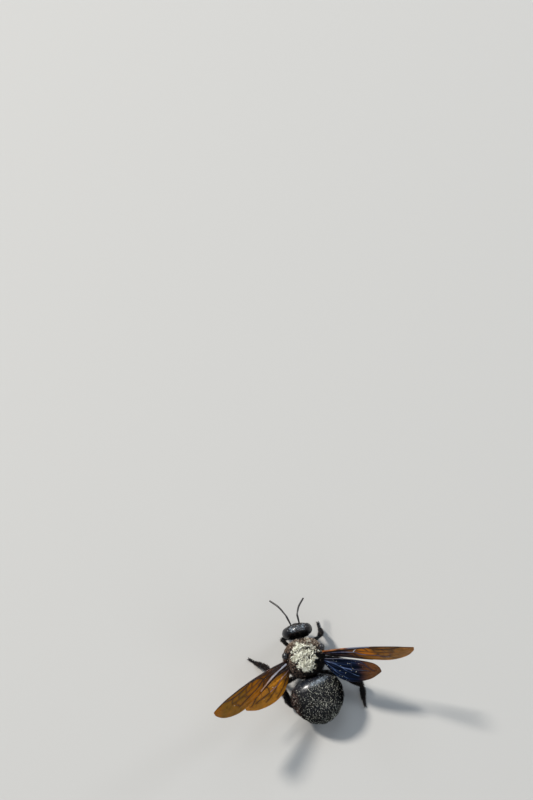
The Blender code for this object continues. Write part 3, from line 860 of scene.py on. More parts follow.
eye_finish = make_eye_finish()
for label, side in (("left", 1), ("right", -1)):
    add_piece(f"eye_{label}", skin(big_eye(side), 64, 48), eye_finish, [f"eye_{label}"])

# %% The simple eyes
OCELLI = [(0.0, -0.42), (0.42, 0.02), (-0.42, 0.02)]  # x and y from the head's centre
OCELLUS_RADIUS = 0.19


def bead(centre, radius, squash=1.0):
    """shape(u, v) of a ball of a radius at a centre, flattened in z by squash."""
    def shape(u, v):
        """u round, v from the bottom to the top of the ball."""
        x, y, z = unit_ball(u, v)
        return np.asarray(centre) + radius * np.stack([x, -y, z * squash], -1)
    return shape


def crown_height(x, y):
    """Height of the head's top over a place near its middle, from the egg's own formula."""
    z = np.sqrt(max(0.0, 1 - (x / 2.5) ** 2 - abs(y / 1.3) ** 2))
    return HEAD_CENTRE[2] + z * (HEAD_HEIGHT / 2 - HEAD_COAT) + 0.05


ocellus_glass, _, _ = new_material("simple eye", (0.05, 0.045, 0.05), 0.05, Coat_Weight=1.0,
                                   Specular_IOR_Level=0.8)
simple_eyes = [(bead((x, HEAD_CENTRE[1] + y, crown_height(x, y)), OCELLUS_RADIUS, 0.8), 20, 12)
               for x, y in OCELLI]
add_piece("simple_eyes", bundle(simple_eyes), ocellus_glass)

# %% [markdown]
# ## Stems
# Feelers, jaws, tongue and legs are all stems: a round profile carried along a smooth path. The
# path runs through a few chosen points, and the radius follows its own few values in the same way.
# Both ends close as half a ball. A curve with a bevel would do for a round one, but these are
# flattened, ringed and thick in places, so the profile is worked out.
# %% Stem helper
def through(knots, t):
    """The Catmull-Rom curve through the knots, at shares t of its length: smooth, and it meets each knot."""
    knots = np.asarray(knots, float)
    padded = np.concatenate([[2 * knots[0] - knots[1]], knots, [2 * knots[-1] - knots[-2]]])
    place = np.clip(t, 0, 1) * (len(knots) - 1)
    k = np.minimum(place.astype(int), len(knots) - 2)
    s = (place - k)[..., None] if knots.ndim > 1 else place - k
    a, b, c, d = (padded[k + i] for i in range(4))
    square, cube = 2 * a - 5 * b + 4 * c - d, 3 * b - a - 3 * c + d
    return 0.5 * (2 * b + (c - a) * s + square * s**2 + cube * s**3)


def stem(knots, radii, reference=(0, 0, 1), flat=1.0, blunt=0.04, rings=0, groove=0.0):
    """shape(u, v) of a stem. flat is its depth over its width, and blunt the share of it that closes an end.

    rings is how many joints notch it along its length, and groove how deep a notch is.
    """
    knots, radii = np.asarray(knots, float), np.asarray(radii, float)

    def shape(u, v):
        """Ring u round the path at v; near both ends the radius falls off as a circle does."""
        v = np.clip(v, 0, 1)
        tangent = unit(through(knots, np.minimum(v + STEP, 1)) - through(knots, np.maximum(v - STEP, 0)))
        side = unit(np.cross(tangent, np.asarray(reference, float)))
        up = np.cross(side, tangent)
        end = np.clip(np.minimum(v, 1 - v) / blunt, 0, 1)
        radius = np.maximum(through(radii, v), 0.01) * np.sqrt(end * (2 - end))
        if rings:
            notch = np.abs(((v * rings + 0.5) % 1) - 0.5) * 2
            radius = radius * (1 - groove * np.exp(-(notch / 0.12) ** 2))
        angle = 2 * np.pi * u
        ring = side * (np.cos(angle) * radius)[..., None] + up * (np.sin(angle) * radius * flat)[..., None]
        return through(knots, v) + ring
    return shape


def mirrored(points, side):
    """A place on the bee's left, or its mirror image on the right; or a row of such places."""
    return np.array(points, float) * [side, 1, 1]


test_points = skin(stem([(0, 0, 0), (0, 1, 0)], [0.5, 0.5]), 20, 12)[0]
print("a test stem is", np.ptp(test_points, axis=0).round(2), "mm")

# %% [markdown]
# ## Feelers, jaws and tongue
# A feeler is bent like an elbow: one long joint, a small round one and eleven short ones, with a dull
# velvet finish. The jaws are heavy curved chisels that cut wood, and the tongue is folded back
# under the head in its two horny blades.
# %% Feelers
SOCKET = (0.75, -6.3, 5.9)
FEELERS = {  # side, elbow, bend and tip
    "left": (1, (1.35, -8.7, 6.6), (2.3, -10.7, 6.3), (3.6, -12.5, 5.2)),
    "right": (-1, (0.75, -8.4, 6.7), (1.5, -9.9, 6.3), (2.8, -11.4, 5.2))}
BASE_RADII = [0.13, 0.14, 0.17, 0.19, 0.18]
WHIP_RADII = [0.13, 0.16, 0.175, 0.18, 0.18, 0.175, 0.16]
feeler_finish = make_shell("feeler", pit=0.05, cover=0.04, roughness=0.42, colour=(0.016, 0.013, 0.012))
for label, (side, *places) in FEELERS.items():
    socket, elbow, bend, tip = mirrored([SOCKET, *places], side)
    onward = unit(bend - elbow)
    arch = (socket + elbow) / 2 + [0, 0, 0.08]
    scape = stem([socket + [0, 0.15, 0], arch, elbow], BASE_RADII)
    ball, knuckle = bead(socket, 0.2), bead(elbow + onward * 0.08, 0.17)
    base = bundle([(scape, 20, 30), (ball, 20, 12), (knuckle, 20, 12)])
    add_piece(f"feeler_{label}_base", base, feeler_finish, [f"antenna_{label}_scape"])
    whip = stem([elbow + onward * 0.1, bend, tip], WHIP_RADII, rings=11, groove=0.2, blunt=0.015)
    add_piece(f"feeler_{label}_whip", skin(whip, 20, 132), feeler_finish,
              [f"antenna_{label}_flagellum"])

# %% Jaws
JAW_BLADE = ((1.5, -5.9, 4.1), (1.4, -6.5, 3.2), (0.95, -6.8, 2.75), (0.2, -6.8, 2.5))
JAW_TOOTH = ((0.95, -6.85, 2.65), (0.5, -6.92, 2.75))
JAW_RIDGE = ((1.5, -6.25, 4.0), (1.42, -6.88, 3.2), (0.8, -7.05, 2.75))
jaw_finish = make_shell("jaw", pit=0.08, cover=0.02, roughness=0.18, colour=(0.014, 0.008, 0.006))
for label, side in (("left", 1), ("right", -1)):
    blade = stem(mirrored(JAW_BLADE, side), [0.36, 0.44, 0.42, 0.36, 0.2], reference=(0, 1, 0.3), flat=0.62,
                 blunt=0.05)
    tooth = stem(mirrored(JAW_TOOTH, side), [0.2, 0.16, 0.07], flat=0.7)
    ridge = stem(mirrored(JAW_RIDGE, side), [0.08, 0.09, 0.05])
    add_piece(f"jaw_{label}", bundle([(blade, 28, 40), (tooth, 16, 16), (ridge, 10, 24)]), jaw_finish,
              [f"mandible_{label}"])

# %% Tongue and upper lip
TONGUE_BLADE = ((0.12, -6.1, 3.3), (0.17, -5.2, 2.6), (0.1, -3.95, 2.72))
UPPER_LIP = ((-0.8, -6.7, 3.42), (0, -6.9, 3.32), (0.8, -6.7, 3.42))
halves = [stem(mirrored(TONGUE_BLADE, side), [0.24, 0.27, 0.24, 0.18, 0.1], reference=(1, 0, 0), flat=0.75)
          for side in (1, -1)]
tongue_blades = bundle([(half, 18, 36) for half in halves])
add_piece("tongue_blades", tongue_blades, jaw_finish, ["tongue"])
upper_lip = stem(UPPER_LIP, [0.14, 0.2, 0.22, 0.2, 0.14], reference=(0, 1, 0), flat=2.3)
add_piece("upper_lip", skin(upper_lip, 20, 40), head_shell)

# %% [markdown]
# ## Hair on the head
# The face has a short thin coat that runs down to the jaws, longer under the chin and at the nape.
# On the polished crown a few pale blue bristles stand along the inner rims of the eyes: painted glints.
# %% Coat of the head
def face_growth(points, u, v):
    """Hair on the face, cheeks, nape and throat; none under the eyes and little on the polished crown."""
    x, y, z = np.moveaxis(points - HEAD_CENTRE, -1, 0)
    clear_of_eyes = np.abs(x) < 1.75
    crown = np.exp(-((z - 2.2) / 0.5) ** 2) * np.exp(-((y + 0.1) / 0.7) ** 2)
    return clear_of_eyes * (1.0 - 0.85 * crown) * (0.55 + 0.6 * (z < -1.6) + 0.8 * (y > 0.45))


def face_length(points):
    """0.28 mm on the face, longer under the chin, on the cheeks and at the nape."""
    local = points - HEAD_CENTRE
    far = np.maximum(np.clip((-local[:, 2] - 1.4) / 1.0, 0, 1), np.clip((local[:, 1] - 0.3) / 0.6, 0, 1))
    return 0.28 + 0.32 * far


def face_lie(points):
    """Down the face, and up and back over the nape."""
    local = points - HEAD_CENTRE
    nape = local[:, 1] > 0
    return np.stack([0.25 * local[:, 0], np.where(nape, 0.5, -0.2), np.where(nape, 0.6, -1.0)], -1)


def crown_glints(points, u, v):
    """Painted glints: pale bristles on the crown, most at the inner rims of the eyes."""
    x, y, z = np.moveaxis(points - HEAD_CENTRE, -1, 0)
    rims = np.exp(-((np.abs(x + 0.1) - 1.15) / 0.45) ** 2) + 0.4
    rims = rims * np.clip(drift_at(points, 0.4, seed=8) + 0.3, 0.02, 1)
    return rims * (z > 1.7) * np.exp(-((y + 0.35) / 0.4) ** 2)


face_hair = grow(head, count=9000, seed=41, length=face_length, width=0.032, lift=0.7, lie=face_lie,
                 tuft=0.35, density=face_growth)
add_piece("head_coat", face_hair, black_coat)
# Painted glints: pale blue bristles on the crown.
bristles = grow(head, count=620, seed=42, length=0.18, width=0.06, droop=0.2, lie=face_lie,
                wild=0.4, density=crown_glints)
add_piece("head_glint_bristles", bristles, glint_coat)

# %% [markdown]
# ## Shoulder caps
# A small scale of shell covers the hinge of the wings on each side. It is a low dome, so it is a
# squashed ball with a slight swelling over its middle.
# %% The cap over each wing's hinge
CAP_CENTRE = (3.55, -0.95, 8.3)
cap_shell = make_shell("shoulder cap", pit=0.22, cover=0.12, roughness=0.3)


def shoulder_cap(side):
    """shape(u, v) of a low dome, longer than wide, lying on the shoulder."""
    def shape(u, v):
        """u round, v from the bottom to the top of the dome."""
        x, y, z = unit_ball(u, v)
        dome = np.stack([x * 0.62, -y * 0.66, z * 0.5 + 0.06 * np.cos(3 * x)], -1)
        return mirrored(CAP_CENTRE, side) + dome
    return shape


for label, side in (("left", 1), ("right", -1)):
    add_piece(f"shoulder_cap_{label}", skin(shoulder_cap(side), 32, 20), cap_shell,
              [f"tegula_{label}"])

# %% [markdown]
# ## Legs
# Each leg is one mesh of hard joints: hip, ring, thigh, shin and five foot joints, the first long
# and flat. It ends in two hooked claws with a soft pad between them, and a spur stands where the
# shin ends. The knee isn't chosen: it is where a thigh and a shin of the right lengths meet over the
# line from hip to ankle, as in the solids.
# %% Where the legs stand
COXA_TOPS = {"front": (0.9, -2.3, 4.3), "mid": (1.2, -0.2, 3.6), "hind": (1.3, 2.1, 3.8)}
HIPS = {"front": (1.8, -3.0, 3.1), "mid": (2.5, 0.1, 2.4), "hind": (2.5, 2.7, 2.4)}
LEG_LENGTHS = {"front": (2.4, 2.6), "mid": (4.2, 4.0), "hind": (3.9, 4.5)}  # of thigh and shin
LEG_RADII = {"front": (0.45, 0.42), "mid": (0.52, 0.55), "hind": (0.6, 0.78)}
SHIN_FLATNESS = {"front": 0.75, "mid": 0.75, "hind": 0.55}
STANCE = {  # side, ankle, toe on the floor, and how far the knee turns out, in degrees
    ("front", "left"): (1, (2.0, -5.3, 1.6), (1.4, -7.1), 38),
    ("front", "right"): (-1, (4.6, -4.7, 1.6), (4.5, -6.8), 20),
    ("mid", "left"): (1, (7.9, -1.2, 1.9), (10.0, -3.3), 45),
    ("mid", "right"): (-1, (7.9, 2.7, 1.9), (9.9, 3.8), 10),
    ("hind", "left"): (1, (4.8, 6.9, 1.9), (2.9, 8.5), 45),
    ("hind", "right"): (-1, (9.5, 7.0, 1.9), (9.2, 10.9), 35),
}
SOLE_HEIGHT, TARSUS_LENGTH = 0.22, 1.2


def knee_of(hip, ankle, femur, tibia, side, outward):
    """The knee: over the line from hip to ankle by the triangle's height, turned outwards about it."""
    span = np.linalg.norm(ankle - hip)
    share = (femur**2 - tibia**2 + span**2) / (2 * span)
    rise = math.sqrt(max(0.0, femur**2 - share**2))
    along = (ankle - hip) / span
    upright = unit(np.array([0, 0, 1]) - along * along[2])
    sideways = np.array([side, 0, 0])
    sideways = unit(sideways - along * (sideways @ along) - upright * (sideways @ upright))
    return hip + along * share + (upright * math.cos(outward) + sideways * math.sin(outward)) * rise


print("longest leg:", max(sum(lengths) for lengths in LEG_LENGTHS.values()), "mm of thigh and shin")

# %% The joints of a leg
THIGH_GIRTH = (0.62, 0.84, 0.86, 0.7, 0.55)  # shares of the leg's radius along each joint
SHIN_GIRTH = (0.45, 0.5, 0.62, 0.68, 0.66)
HEEL_GIRTH = (0.42, 0.66, 0.7, 0.6, 0.42)
CLAW_RADII = (0.1, 0.085, 0.06, 0.015)


def claw_paths(toe, ahead):
    """Two hooks that leave the toe sideways and curl down ahead of it."""
    across = np.array([-ahead[1], ahead[0], 0])
    for lean in (1, -1):
        out = across * lean * 0.2
        yield [toe, toe + ahead * 0.16 + across * lean * 0.12 + [0, 0, 0.1],
               toe + ahead * 0.34 + out, toe + ahead * 0.38 + out - [0, 0, 0.14]]


def leg_parts(pair, label):
    """The joints of one leg as stems, by name: each runs from the body towards the toe."""
    side, ankle, toe, outward = STANCE[pair, label]
    top, hip, ankle = mirrored([COXA_TOPS[pair], HIPS[pair], ankle], side)
    toe = np.array([toe[0] * side, toe[1], SOLE_HEIGHT])
    (femur, tibia), (thick, brush) = LEG_LENGTHS[pair], LEG_RADII[pair]
    knee = knee_of(hip, ankle, femur, tibia, side, math.radians(outward))
    back = unit((ankle - toe) * [1, 1, 0])
    heel = toe + back * TARSUS_LENGTH
    bend = hip * 0.72 + knee * 0.28
    downward = unit(heel - ankle)
    plane = np.cross(knee - hip, ankle - knee)
    parts = {
        "hip": stem([top, (top + hip) / 2, hip], [0.5, 0.5, 0.34]),
        "ring": stem([hip, bend], [thick * 0.7, thick * 0.72, thick * 0.7], blunt=0.3),
        "thigh": stem([bend - (bend - hip) * 0.35, (bend + knee) / 2, knee],
                      [thick * k for k in THIGH_GIRTH], reference=plane, flat=0.8, blunt=0.1),
        "shin": stem([knee, (knee + ankle) / 2, ankle], [brush * k for k in SHIN_GIRTH],
                     reference=plane, flat=SHIN_FLATNESS[pair], blunt=0.07),
        "heel": stem([ankle, (ankle + heel) / 2, heel], [thick * k for k in HEEL_GIRTH],
                     reference=plane, flat=0.55, blunt=0.08),
        "foot": stem([heel, (heel + toe) / 2, toe], [0.17, 0.2, 0.2, 0.19, 0.2],
                     rings=4, groove=0.42, blunt=0.06),
        "spur": stem([ankle, ankle + downward * 0.35 - back * 0.16, ankle + downward * 0.7 - back * 0.2],
                     [0.07, 0.06, 0.015]),
        "pad": bead(toe - back * 0.12, 0.11, 0.8),
    }
    for k, path in enumerate(claw_paths(toe, -back)):
        parts[f"claw {k}"] = stem(path, CLAW_RADII)
    return parts

# %% [markdown]
# ## Brushes on the legs
# The thigh is nearly bare. The shin and the first foot joint are brushes for pollen, fullest on the
# hind legs, and their hair leans towards the foot.
# %% Legs and their brushes
GRAIN = {"hip": (20, 20), "ring": (20, 12), "thigh": (28, 40), "shin": (28, 44), "heel": (24, 32),
         "foot": (18, 60), "spur": (8, 12), "pad": (12, 8), "claw 0": (10, 16), "claw 1": (10, 16)}
BRUSH = {  # hairs, their length and width, and how far they stand off
    "hip": (200, 0.45, 0.035, 0.5), "ring": (120, 0.35, 0.03, 0.5), "thigh": (700, 0.34, 0.03, 0.42),
    "shin": (2100, 0.62, 0.035, 0.62), "heel": (1200, 0.5, 0.032, 0.6), "foot": (480, 0.26, 0.024, 0.55)}
BULK = {"front": 0.75, "mid": 1.0, "hind": 1.35}
FIRST_LEG_SEED = 61


def leg_coat(stems, bulk, first_seed):
    """The hair of one leg, on each joint that has any. No hair goes through the floor."""
    tufts = []
    for k, (name, (count, length, width, lift)) in enumerate(BRUSH.items()):
        length = length * (0.75 + 0.25 * bulk)
        tufts.append(grow(stems[name], int(count * bulk), first_seed + k, length, width, lift=lift,
                          droop=0.25, tuft=0.3, wild=0.2, tile=tile_of(k, len(BRUSH))))
    points, faces, uvs = joined(tufts)
    points[..., 2] = np.maximum(points[..., 2], 0.0)
    return points, faces, uvs


for leg, (pair, label) in enumerate(STANCE):
    stems = leg_parts(pair, label)
    joints = bundle([(stems[name], *GRAIN[name]) for name in stems])
    add_piece(f"leg_{pair}_{label}", joints, leg_shell,
              [f"leg_{pair}_{label}_{part}" for part in ("coxa", "femur", "tibia", "foot")])
    coat = leg_coat(stems, BULK[pair], FIRST_LEG_SEED + leg * len(BRUSH))
    add_piece(f"leg_{pair}_{label}_coat", coat, black_coat)

# %% [markdown]
# ## Wings
# A real wing is a film a few hundredths of a millimetre thick, stretched on tubes. It could be a
# flat picture with a cut-out edge, but then it would have no pleats to catch the light. Here it is a
# very flat closed ring: u goes along the upper face from front to rear and back along the lower
# one, and v goes from root to tip. Its outline and its twist are the solid's own.
# %% The shape of a wing
CAMBER = 0.04  # share of the chord by which the film arches
FORE_OUTLINE = (((0, 0), (5, -0.35), (11, -0.3), (16, 0.5), (18.3, 1.5), (19.0, 2.7)),
                ((0.2, 1.0), (4.5, 2.3), (8.8, 4.2), (12.6, 5.6), (16.0, 5.4), (18.2, 4.2), (19.0, 3.1)))
HIND_OUTLINE = (((0, 0), (3.7, -0.2), (7.3, 0.0), (10.1, 0.5), (11.2, 1.3), (11.5, 2.1)),
                ((0.2, 0.8), (1.6, 2.5), (3.5, 4.1), (6.2, 4.6), (9.1, 4.0), (10.9, 2.9), (11.5, 2.4)))
FORE_ROOT, HIND_ROOT = (3.3, -0.15, 8.0), (3.2, 1.1, 7.3)
WINGS = {  # outline, root, side; sweep to the rear, rise, turn of the chord at root and tip, in degrees
    "forewing_left": (FORE_OUTLINE, FORE_ROOT, 1, 21.5, 31.5, 40, 73),
    "forewing_right": (FORE_OUTLINE, FORE_ROOT, -1, 16.5, 36, 58, 89),
    "hindwing_left": (HIND_OUTLINE, HIND_ROOT, 1, 23, 10, 38, 48),
    "hindwing_right": (HIND_OUTLINE, HIND_ROOT, -1, 20.5, 20, 30, 44),
}
HALF_FILM, PLEAT, PLEATS = 0.02, 0.11, 4.5  # half its thickness, the height of a pleat, and how many


def wing_sheet(outline, root, side, sweep, rise, root_turn, tip_turn):
    """sheet(x, q, over): x mm out along the span, share q from front edge to rear, over mm above it."""
    shares = np.linspace(0, 1, 200)
    lead, trail = (through(edge, shares) for edge in outline)
    length, half_way = lead[-1, 0], (lead[:, 0] + trail[:, 0]) / 2
    sweep, rise = math.radians(sweep), math.radians(rise)
    span = np.array([side * math.cos(rise) * math.cos(sweep), math.cos(rise) * math.sin(sweep),
                     math.sin(rise)])
    level = np.array([-side * math.sin(sweep), math.cos(sweep), 0])
    upward = side * np.cross(span, level)

    def sheet(x, q, over=0.0):
        """On the twisted plane, raised by the camber and by pleats that die out towards the tip."""
        front = np.interp(x, lead[:, 0], lead[:, 1])
        depth = np.interp(x, trail[:, 0], trail[:, 1]) - front
        turn = np.radians(root_turn + (tip_turn - root_turn) * np.interp(x, half_way, shares))[..., None]
        chord = level * np.cos(turn) - upward * np.sin(turn)
        normal = upward * np.cos(turn) + level * np.sin(turn)
        fade = np.clip(x / 2, 0, 1) * np.clip(1.25 - 1.45 * x / length, 0.1, 1)
        fold = np.arcsin(0.94 * np.sin(2 * np.pi * PLEATS * q + 0.8 * x / length)) * 2 / np.pi
        height = CAMBER * depth * 4 * q * (1 - q) + PLEAT * fold * fade
        return (mirrored(root, side) + span * x[..., None] + chord * (front + depth * q)[..., None]
                + normal * (height + over)[..., None])
    return sheet, length


def on_film(u, v, length):
    """The place (x, q) on a wing: out by the sine of a quarter turn, and across and back by a cosine."""
    return length * np.sin(np.pi / 2 * v), (1 - np.cos(2 * np.pi * u)) / 2


def film_of(sheet, length):
    """shape(u, v) of a film: a flat ring whose two faces are a film's thickness apart."""
    def shape(u, v):
        """The upper face is where the sine of u's angle is over 0."""
        return sheet(*on_film(u, v, length), HALF_FILM * np.sin(2 * np.pi * u))
    return shape


print("lengths of the wings:", {name: float(wing_sheet(*pose)[1]) for name, pose in WINGS.items()}, "mm")

# %% [markdown]
# ## Veins
# The veins are hollow struts: a stout double one along the front, a few long ones that fork, and
# short cross-pieces that close the cells. The outermost part of the wing has none but the one along
# its front. Each is a stem whose points lie on the film, given by a place along the span and a share
# of its depth.
# %% Where the veins run
FORE_VEINS = [  # (x mm, share of the chord) points, then the radius at both ends
    ([(0.1, 0.05), (4, 0.02), (8, 0.02), (11.2, 0.02)], 0.17, 0.12),
    ([(11.0, 0.02), (14, 0.015), (17, 0.02), (18.6, 0.08)], 0.11, 0.05),
    ([(0.2, 0.3), (1.6, 0.25), (3.8, 0.19), (7, 0.11), (10.4, 0.05)], 0.13, 0.1),
    ([(10.4, 0.06), (12.2, 0.15), (14.8, 0.17), (16.2, 0.12), (17.2, 0.04)], 0.09, 0.06),
    ([(0.2, 0.42), (2.5, 0.36), (4.8, 0.33), (6.8, 0.35)], 0.16, 0.12),
    ([(6.8, 0.35), (7.4, 0.2), (8.4, 0.07)], 0.1, 0.08),
    ([(6.8, 0.35), (8.6, 0.5), (11.2, 0.6), (13.2, 0.7)], 0.11, 0.05),
    ([(0.5, 0.5), (2.0, 0.57), (3.4, 0.65), (5.4, 0.71), (7.8, 0.87)], 0.24, 0.17),
    ([(6.9, 0.37), (6.8, 0.56), (7.1, 0.76)], 0.08, 0.07),
    ([(7.5, 0.22), (9.6, 0.31), (12.4, 0.37), (15.0, 0.41)], 0.09, 0.04),
    ([(9.2, 0.05), (9.8, 0.16), (10.2, 0.32)], 0.055, 0.045),
    ([(11.3, 0.12), (11.5, 0.25), (11.4, 0.35)], 0.05, 0.04),
    ([(13.0, 0.17), (13.4, 0.27), (13.2, 0.38)], 0.05, 0.04),
    ([(14.8, 0.17), (15.1, 0.29), (14.9, 0.41)], 0.05, 0.035),
    ([(11.9, 0.36), (11.4, 0.5), (10.6, 0.58)], 0.05, 0.04),
    ([(14.2, 0.4), (13.9, 0.55), (13.0, 0.68)], 0.05, 0.04),
    ([(1.2, 0.93), (4.0, 0.95), (7.0, 0.96), (9.4, 0.965)], 0.12, 0.07),
]
HIND_VEINS = [
    ([(0.1, 0.06), (2.3, 0.03), (4.4, 0.02), (6.2, 0.03)], 0.14, 0.1),
    ([(6.2, 0.03), (8.0, 0.12), (9.2, 0.34), (10.3, 0.6)], 0.1, 0.06),
    ([(0.2, 0.35), (2.4, 0.3), (3.8, 0.4), (5.8, 0.44)], 0.12, 0.09),
    ([(5.8, 0.44), (8.2, 0.47), (9.3, 0.52)], 0.09, 0.04),
    ([(6.0, 0.04), (5.8, 0.24), (5.8, 0.44)], 0.06, 0.05),
    ([(4.0, 0.42), (5.4, 0.58), (7.2, 0.74)], 0.07, 0.035),
    ([(0.25, 0.6), (1.7, 0.64), (3.3, 0.76), (4.9, 0.88)], 0.08, 0.04),
]
OUTER_VEINS = list(range(9, 16))  # of a forewing: the fine ones of its outer half
USUAL_CHORD = 4.5  # mm, by which a share of the chord is read as a distance
VEIN_HALO = 0.45  # mm beside a vein in which the film is darker


def vein(sheet, knots, first, last):
    """A vein as a stem: its route over the film, then a radius that tapers from first to last."""
    x, q = through(knots, np.linspace(0, 1, 14)).T
    return stem(sheet(x, q), np.linspace(first, last, 6), reference=(0.3, 0.2, 1), flat=0.85, blunt=0.03)


def nearness(x, q, veins):
    """1 on a vein, falling to 0 half a millimetre away: how thick and dark the film is there."""
    routes = np.concatenate([through(knots, np.linspace(0, 1, 60)) for knots, _, _ in veins])
    gaps = np.hypot(x[:, None] - routes[:, 0], (q[:, None] - routes[:, 1]) * USUAL_CHORD)
    return np.clip(1 - gaps.min(1) / VEIN_HALO, 0, 1) ** 1.5


print("veins of a forewing and of a hindwing:", len(FORE_VEINS), len(HIND_VEINS))

# %% [markdown]
# ## The colour of the film
# The film is smoky amber, brown beside its veins and olive towards the tip. Where it is pleated,
# near the body, a layer under its surface splits the light, and it shines blue and violet like
# steel. Such a play of colour is painted as a metal in that place, so that it stays with the model.
# How far out and how strongly it shines is painted sheen, as the wings look from above and behind,
# and its teal streaks along the pleats are painted glints.
# %% The blue lustre
# Colours of the blue sheen, which is partly painted; the teal is painted glints on the pleats.
LUSTRE_NIGHT, LUSTRE_VIOLET = (0.003, 0.006, 0.013, 1), (0.007, 0.012, 0.038, 1)
TEAL_GLINT, LUSTRE_ROOT = (0.03, 0.07, 0.16, 1), (0.002, 0.003, 0.006, 1)


def make_blue_sheen():
    """Blue and violet painted sheen, with teal painted glints in streaks along the span. Reach says how far
    out from the root it goes.
    """
    tree, start, end = new_group(
        "steel blue sheen", [("Span", "NodeSocketFloat", 0.0), ("Chord", "NodeSocketFloat", 0.0),
                         ("Reach", "NodeSocketFloat", 0.5), ("Strength", "NodeSocketFloat", 1.0)],
        [("Color", "NodeSocketColor"), ("Mask", "NodeSocketFloat")])
    span, reach = start.outputs["Span"], start.outputs["Reach"]
    along = add_math(tree, "MULTIPLY", span, 2.5)
    across = add_math(tree, "MULTIPLY", start.outputs["Chord"], 22.0)
    streak_place = add_node(tree, "ShaderNodeCombineXYZ", {0: along, 1: across}).outputs[0]
    streak = add_node(tree, "ShaderNodeTexNoise", {"Vector": streak_place, "Scale": 1.0, "Detail": 3.0})
    streak = streak.outputs["Fac"]
    tone = add_mix(tree, add_ramp(tree, streak, 0.42, 0.6), LUSTRE_NIGHT, LUSTRE_VIOLET)
    tone = add_mix(tree, add_ramp(tree, streak, 0.55, 0.75), tone, TEAL_GLINT)
    tone = add_mix(tree, add_ramp(tree, span, 0.22, 0.04), tone, LUSTRE_ROOT)
    ragged = add_math(tree, "MULTIPLY_ADD", streak, 0.35, span)
    near_root = add_ramp(tree, ragged, add_math(tree, "ADD", reach, 0.28), reach)
    wire(tree, end, {"Color": tone,
                     "Mask": add_math(tree, "MULTIPLY", near_root, start.outputs["Strength"])})
    return tree


steel_blue_sheen = make_blue_sheen()
print("node group:", steel_blue_sheen.name)

# %% The film
DARK_BLOT, SMOKE = (0.05, 0.018, 0.004), (0.022, 0.010, 0.008)
# The first orange is painted light: bright orange where light shines through the middle of a wing.
SHINE_THROUGH_ORANGE, CLEAR_CELL = (0.95, 0.28, 0.015), (0.50, 0.18, 0.04)
BESIDE_VEIN, FRONT_EDGE = (0.045, 0.014, 0.006), (0.012, 0.008, 0.009)


def make_film(name, reach, strength, amber, olive, clear, edge=0.045, shade=0.0, stripe=0.0, shine_through=0.0,
              mottle=0.4):
    """Wing film by its place on the wing: amber, then olive outside the veins, amber again at the tip.

    clear is the share of light that one face lets through. edge is the dark front's share of the chord,
    and shade is how far out the smoky part near the root goes. stripe is the strength of the clear
    orange cell along the front; the next is that of the painted light in mid wing, bright orange where
    light shines through it, and mottle that of the blots. reach and strength are the blue sheen's.
    """
    made, tree, shader = new_material(name, amber, 0.34, Specular_IOR_Level=0.08)
    marks = add_node(tree, "ShaderNodeAttribute", attribute_name="marks").outputs["Vector"]
    span, chord, near = parts_of(tree, marks)
    middle = add_window(tree, span, (0.36, 0.42), (0.54, 0.6))
    clear_cell = add_math(tree, "MULTIPLY", add_math(
        tree, "MULTIPLY", add_window(tree, chord, (0.04, 0.07), (0.16, 0.2)),
        add_window(tree, span, (0.03, 0.06), (0.24, 0.33))), stripe)
    lustre = use(tree, steel_blue_sheen, {"Span": span, "Chord": chord, "Reach": reach, "Strength": strength})
    paler = (amber[0] * 1.7, amber[1] * 1.6, amber[2] * 1.5)

    def share(mask, strength):
        """A mask at part strength."""
        return add_math(tree, "MULTIPLY", mask, strength)

    tone = (*amber, 1)
    for mask, colour in (
            (add_window(tree, span, (0.48, 0.72), (0.88, 0.98)), olive),
            (share(add_ramp(tree, add_noise(tree, 0.9, 3), 0.4, 0.7), mottle), paler),
            (share(add_ramp(tree, add_noise(tree, 0.45, 3), 0.46, 0.72), mottle), DARK_BLOT),
            # painted light: bright orange where light shines through mid wing
            (share(share(middle, add_ramp(tree, chord, 0.6, 0.42)), shine_through), SHINE_THROUGH_ORANGE),
            (share(near, 0.75), BESIDE_VEIN),
            (add_ramp(tree, chord, edge, edge * 0.2), FRONT_EDGE),
            (share(add_ramp(tree, span, shade, shade - 0.2), 0.85), SMOKE)):
        tone = add_mix(tree, mask, tone, (*colour, 1))
    tone = add_mix(tree, lustre.outputs["Mask"], tone, lustre.outputs["Color"])
    tone = add_mix(tree, clear_cell, tone, (*CLEAR_CELL, 1))
    unstriped = add_math(tree, "SUBTRACT", 0.45, clear_cell)
    solid = add_math(tree, "MAXIMUM", share(near, 0.6), lustre.outputs["Mask"])
    wire(tree, shader, {
        "Base Color": tone,
        "Metallic": add_math(tree, "MULTIPLY", lustre.outputs["Mask"], unstriped, clamp=True),
        "Alpha": add_math(tree, "MULTIPLY_ADD", solid, clear * 0.85, 1 - clear, clamp=True)})
    ripple = add_math(tree, "ADD", add_noise(tree, 0.7, 3), share(add_noise(tree, 0.06, 1), 0.12))
    add_bump(tree, shader, ripple, strength=0.5, depth=0.12)
    return made

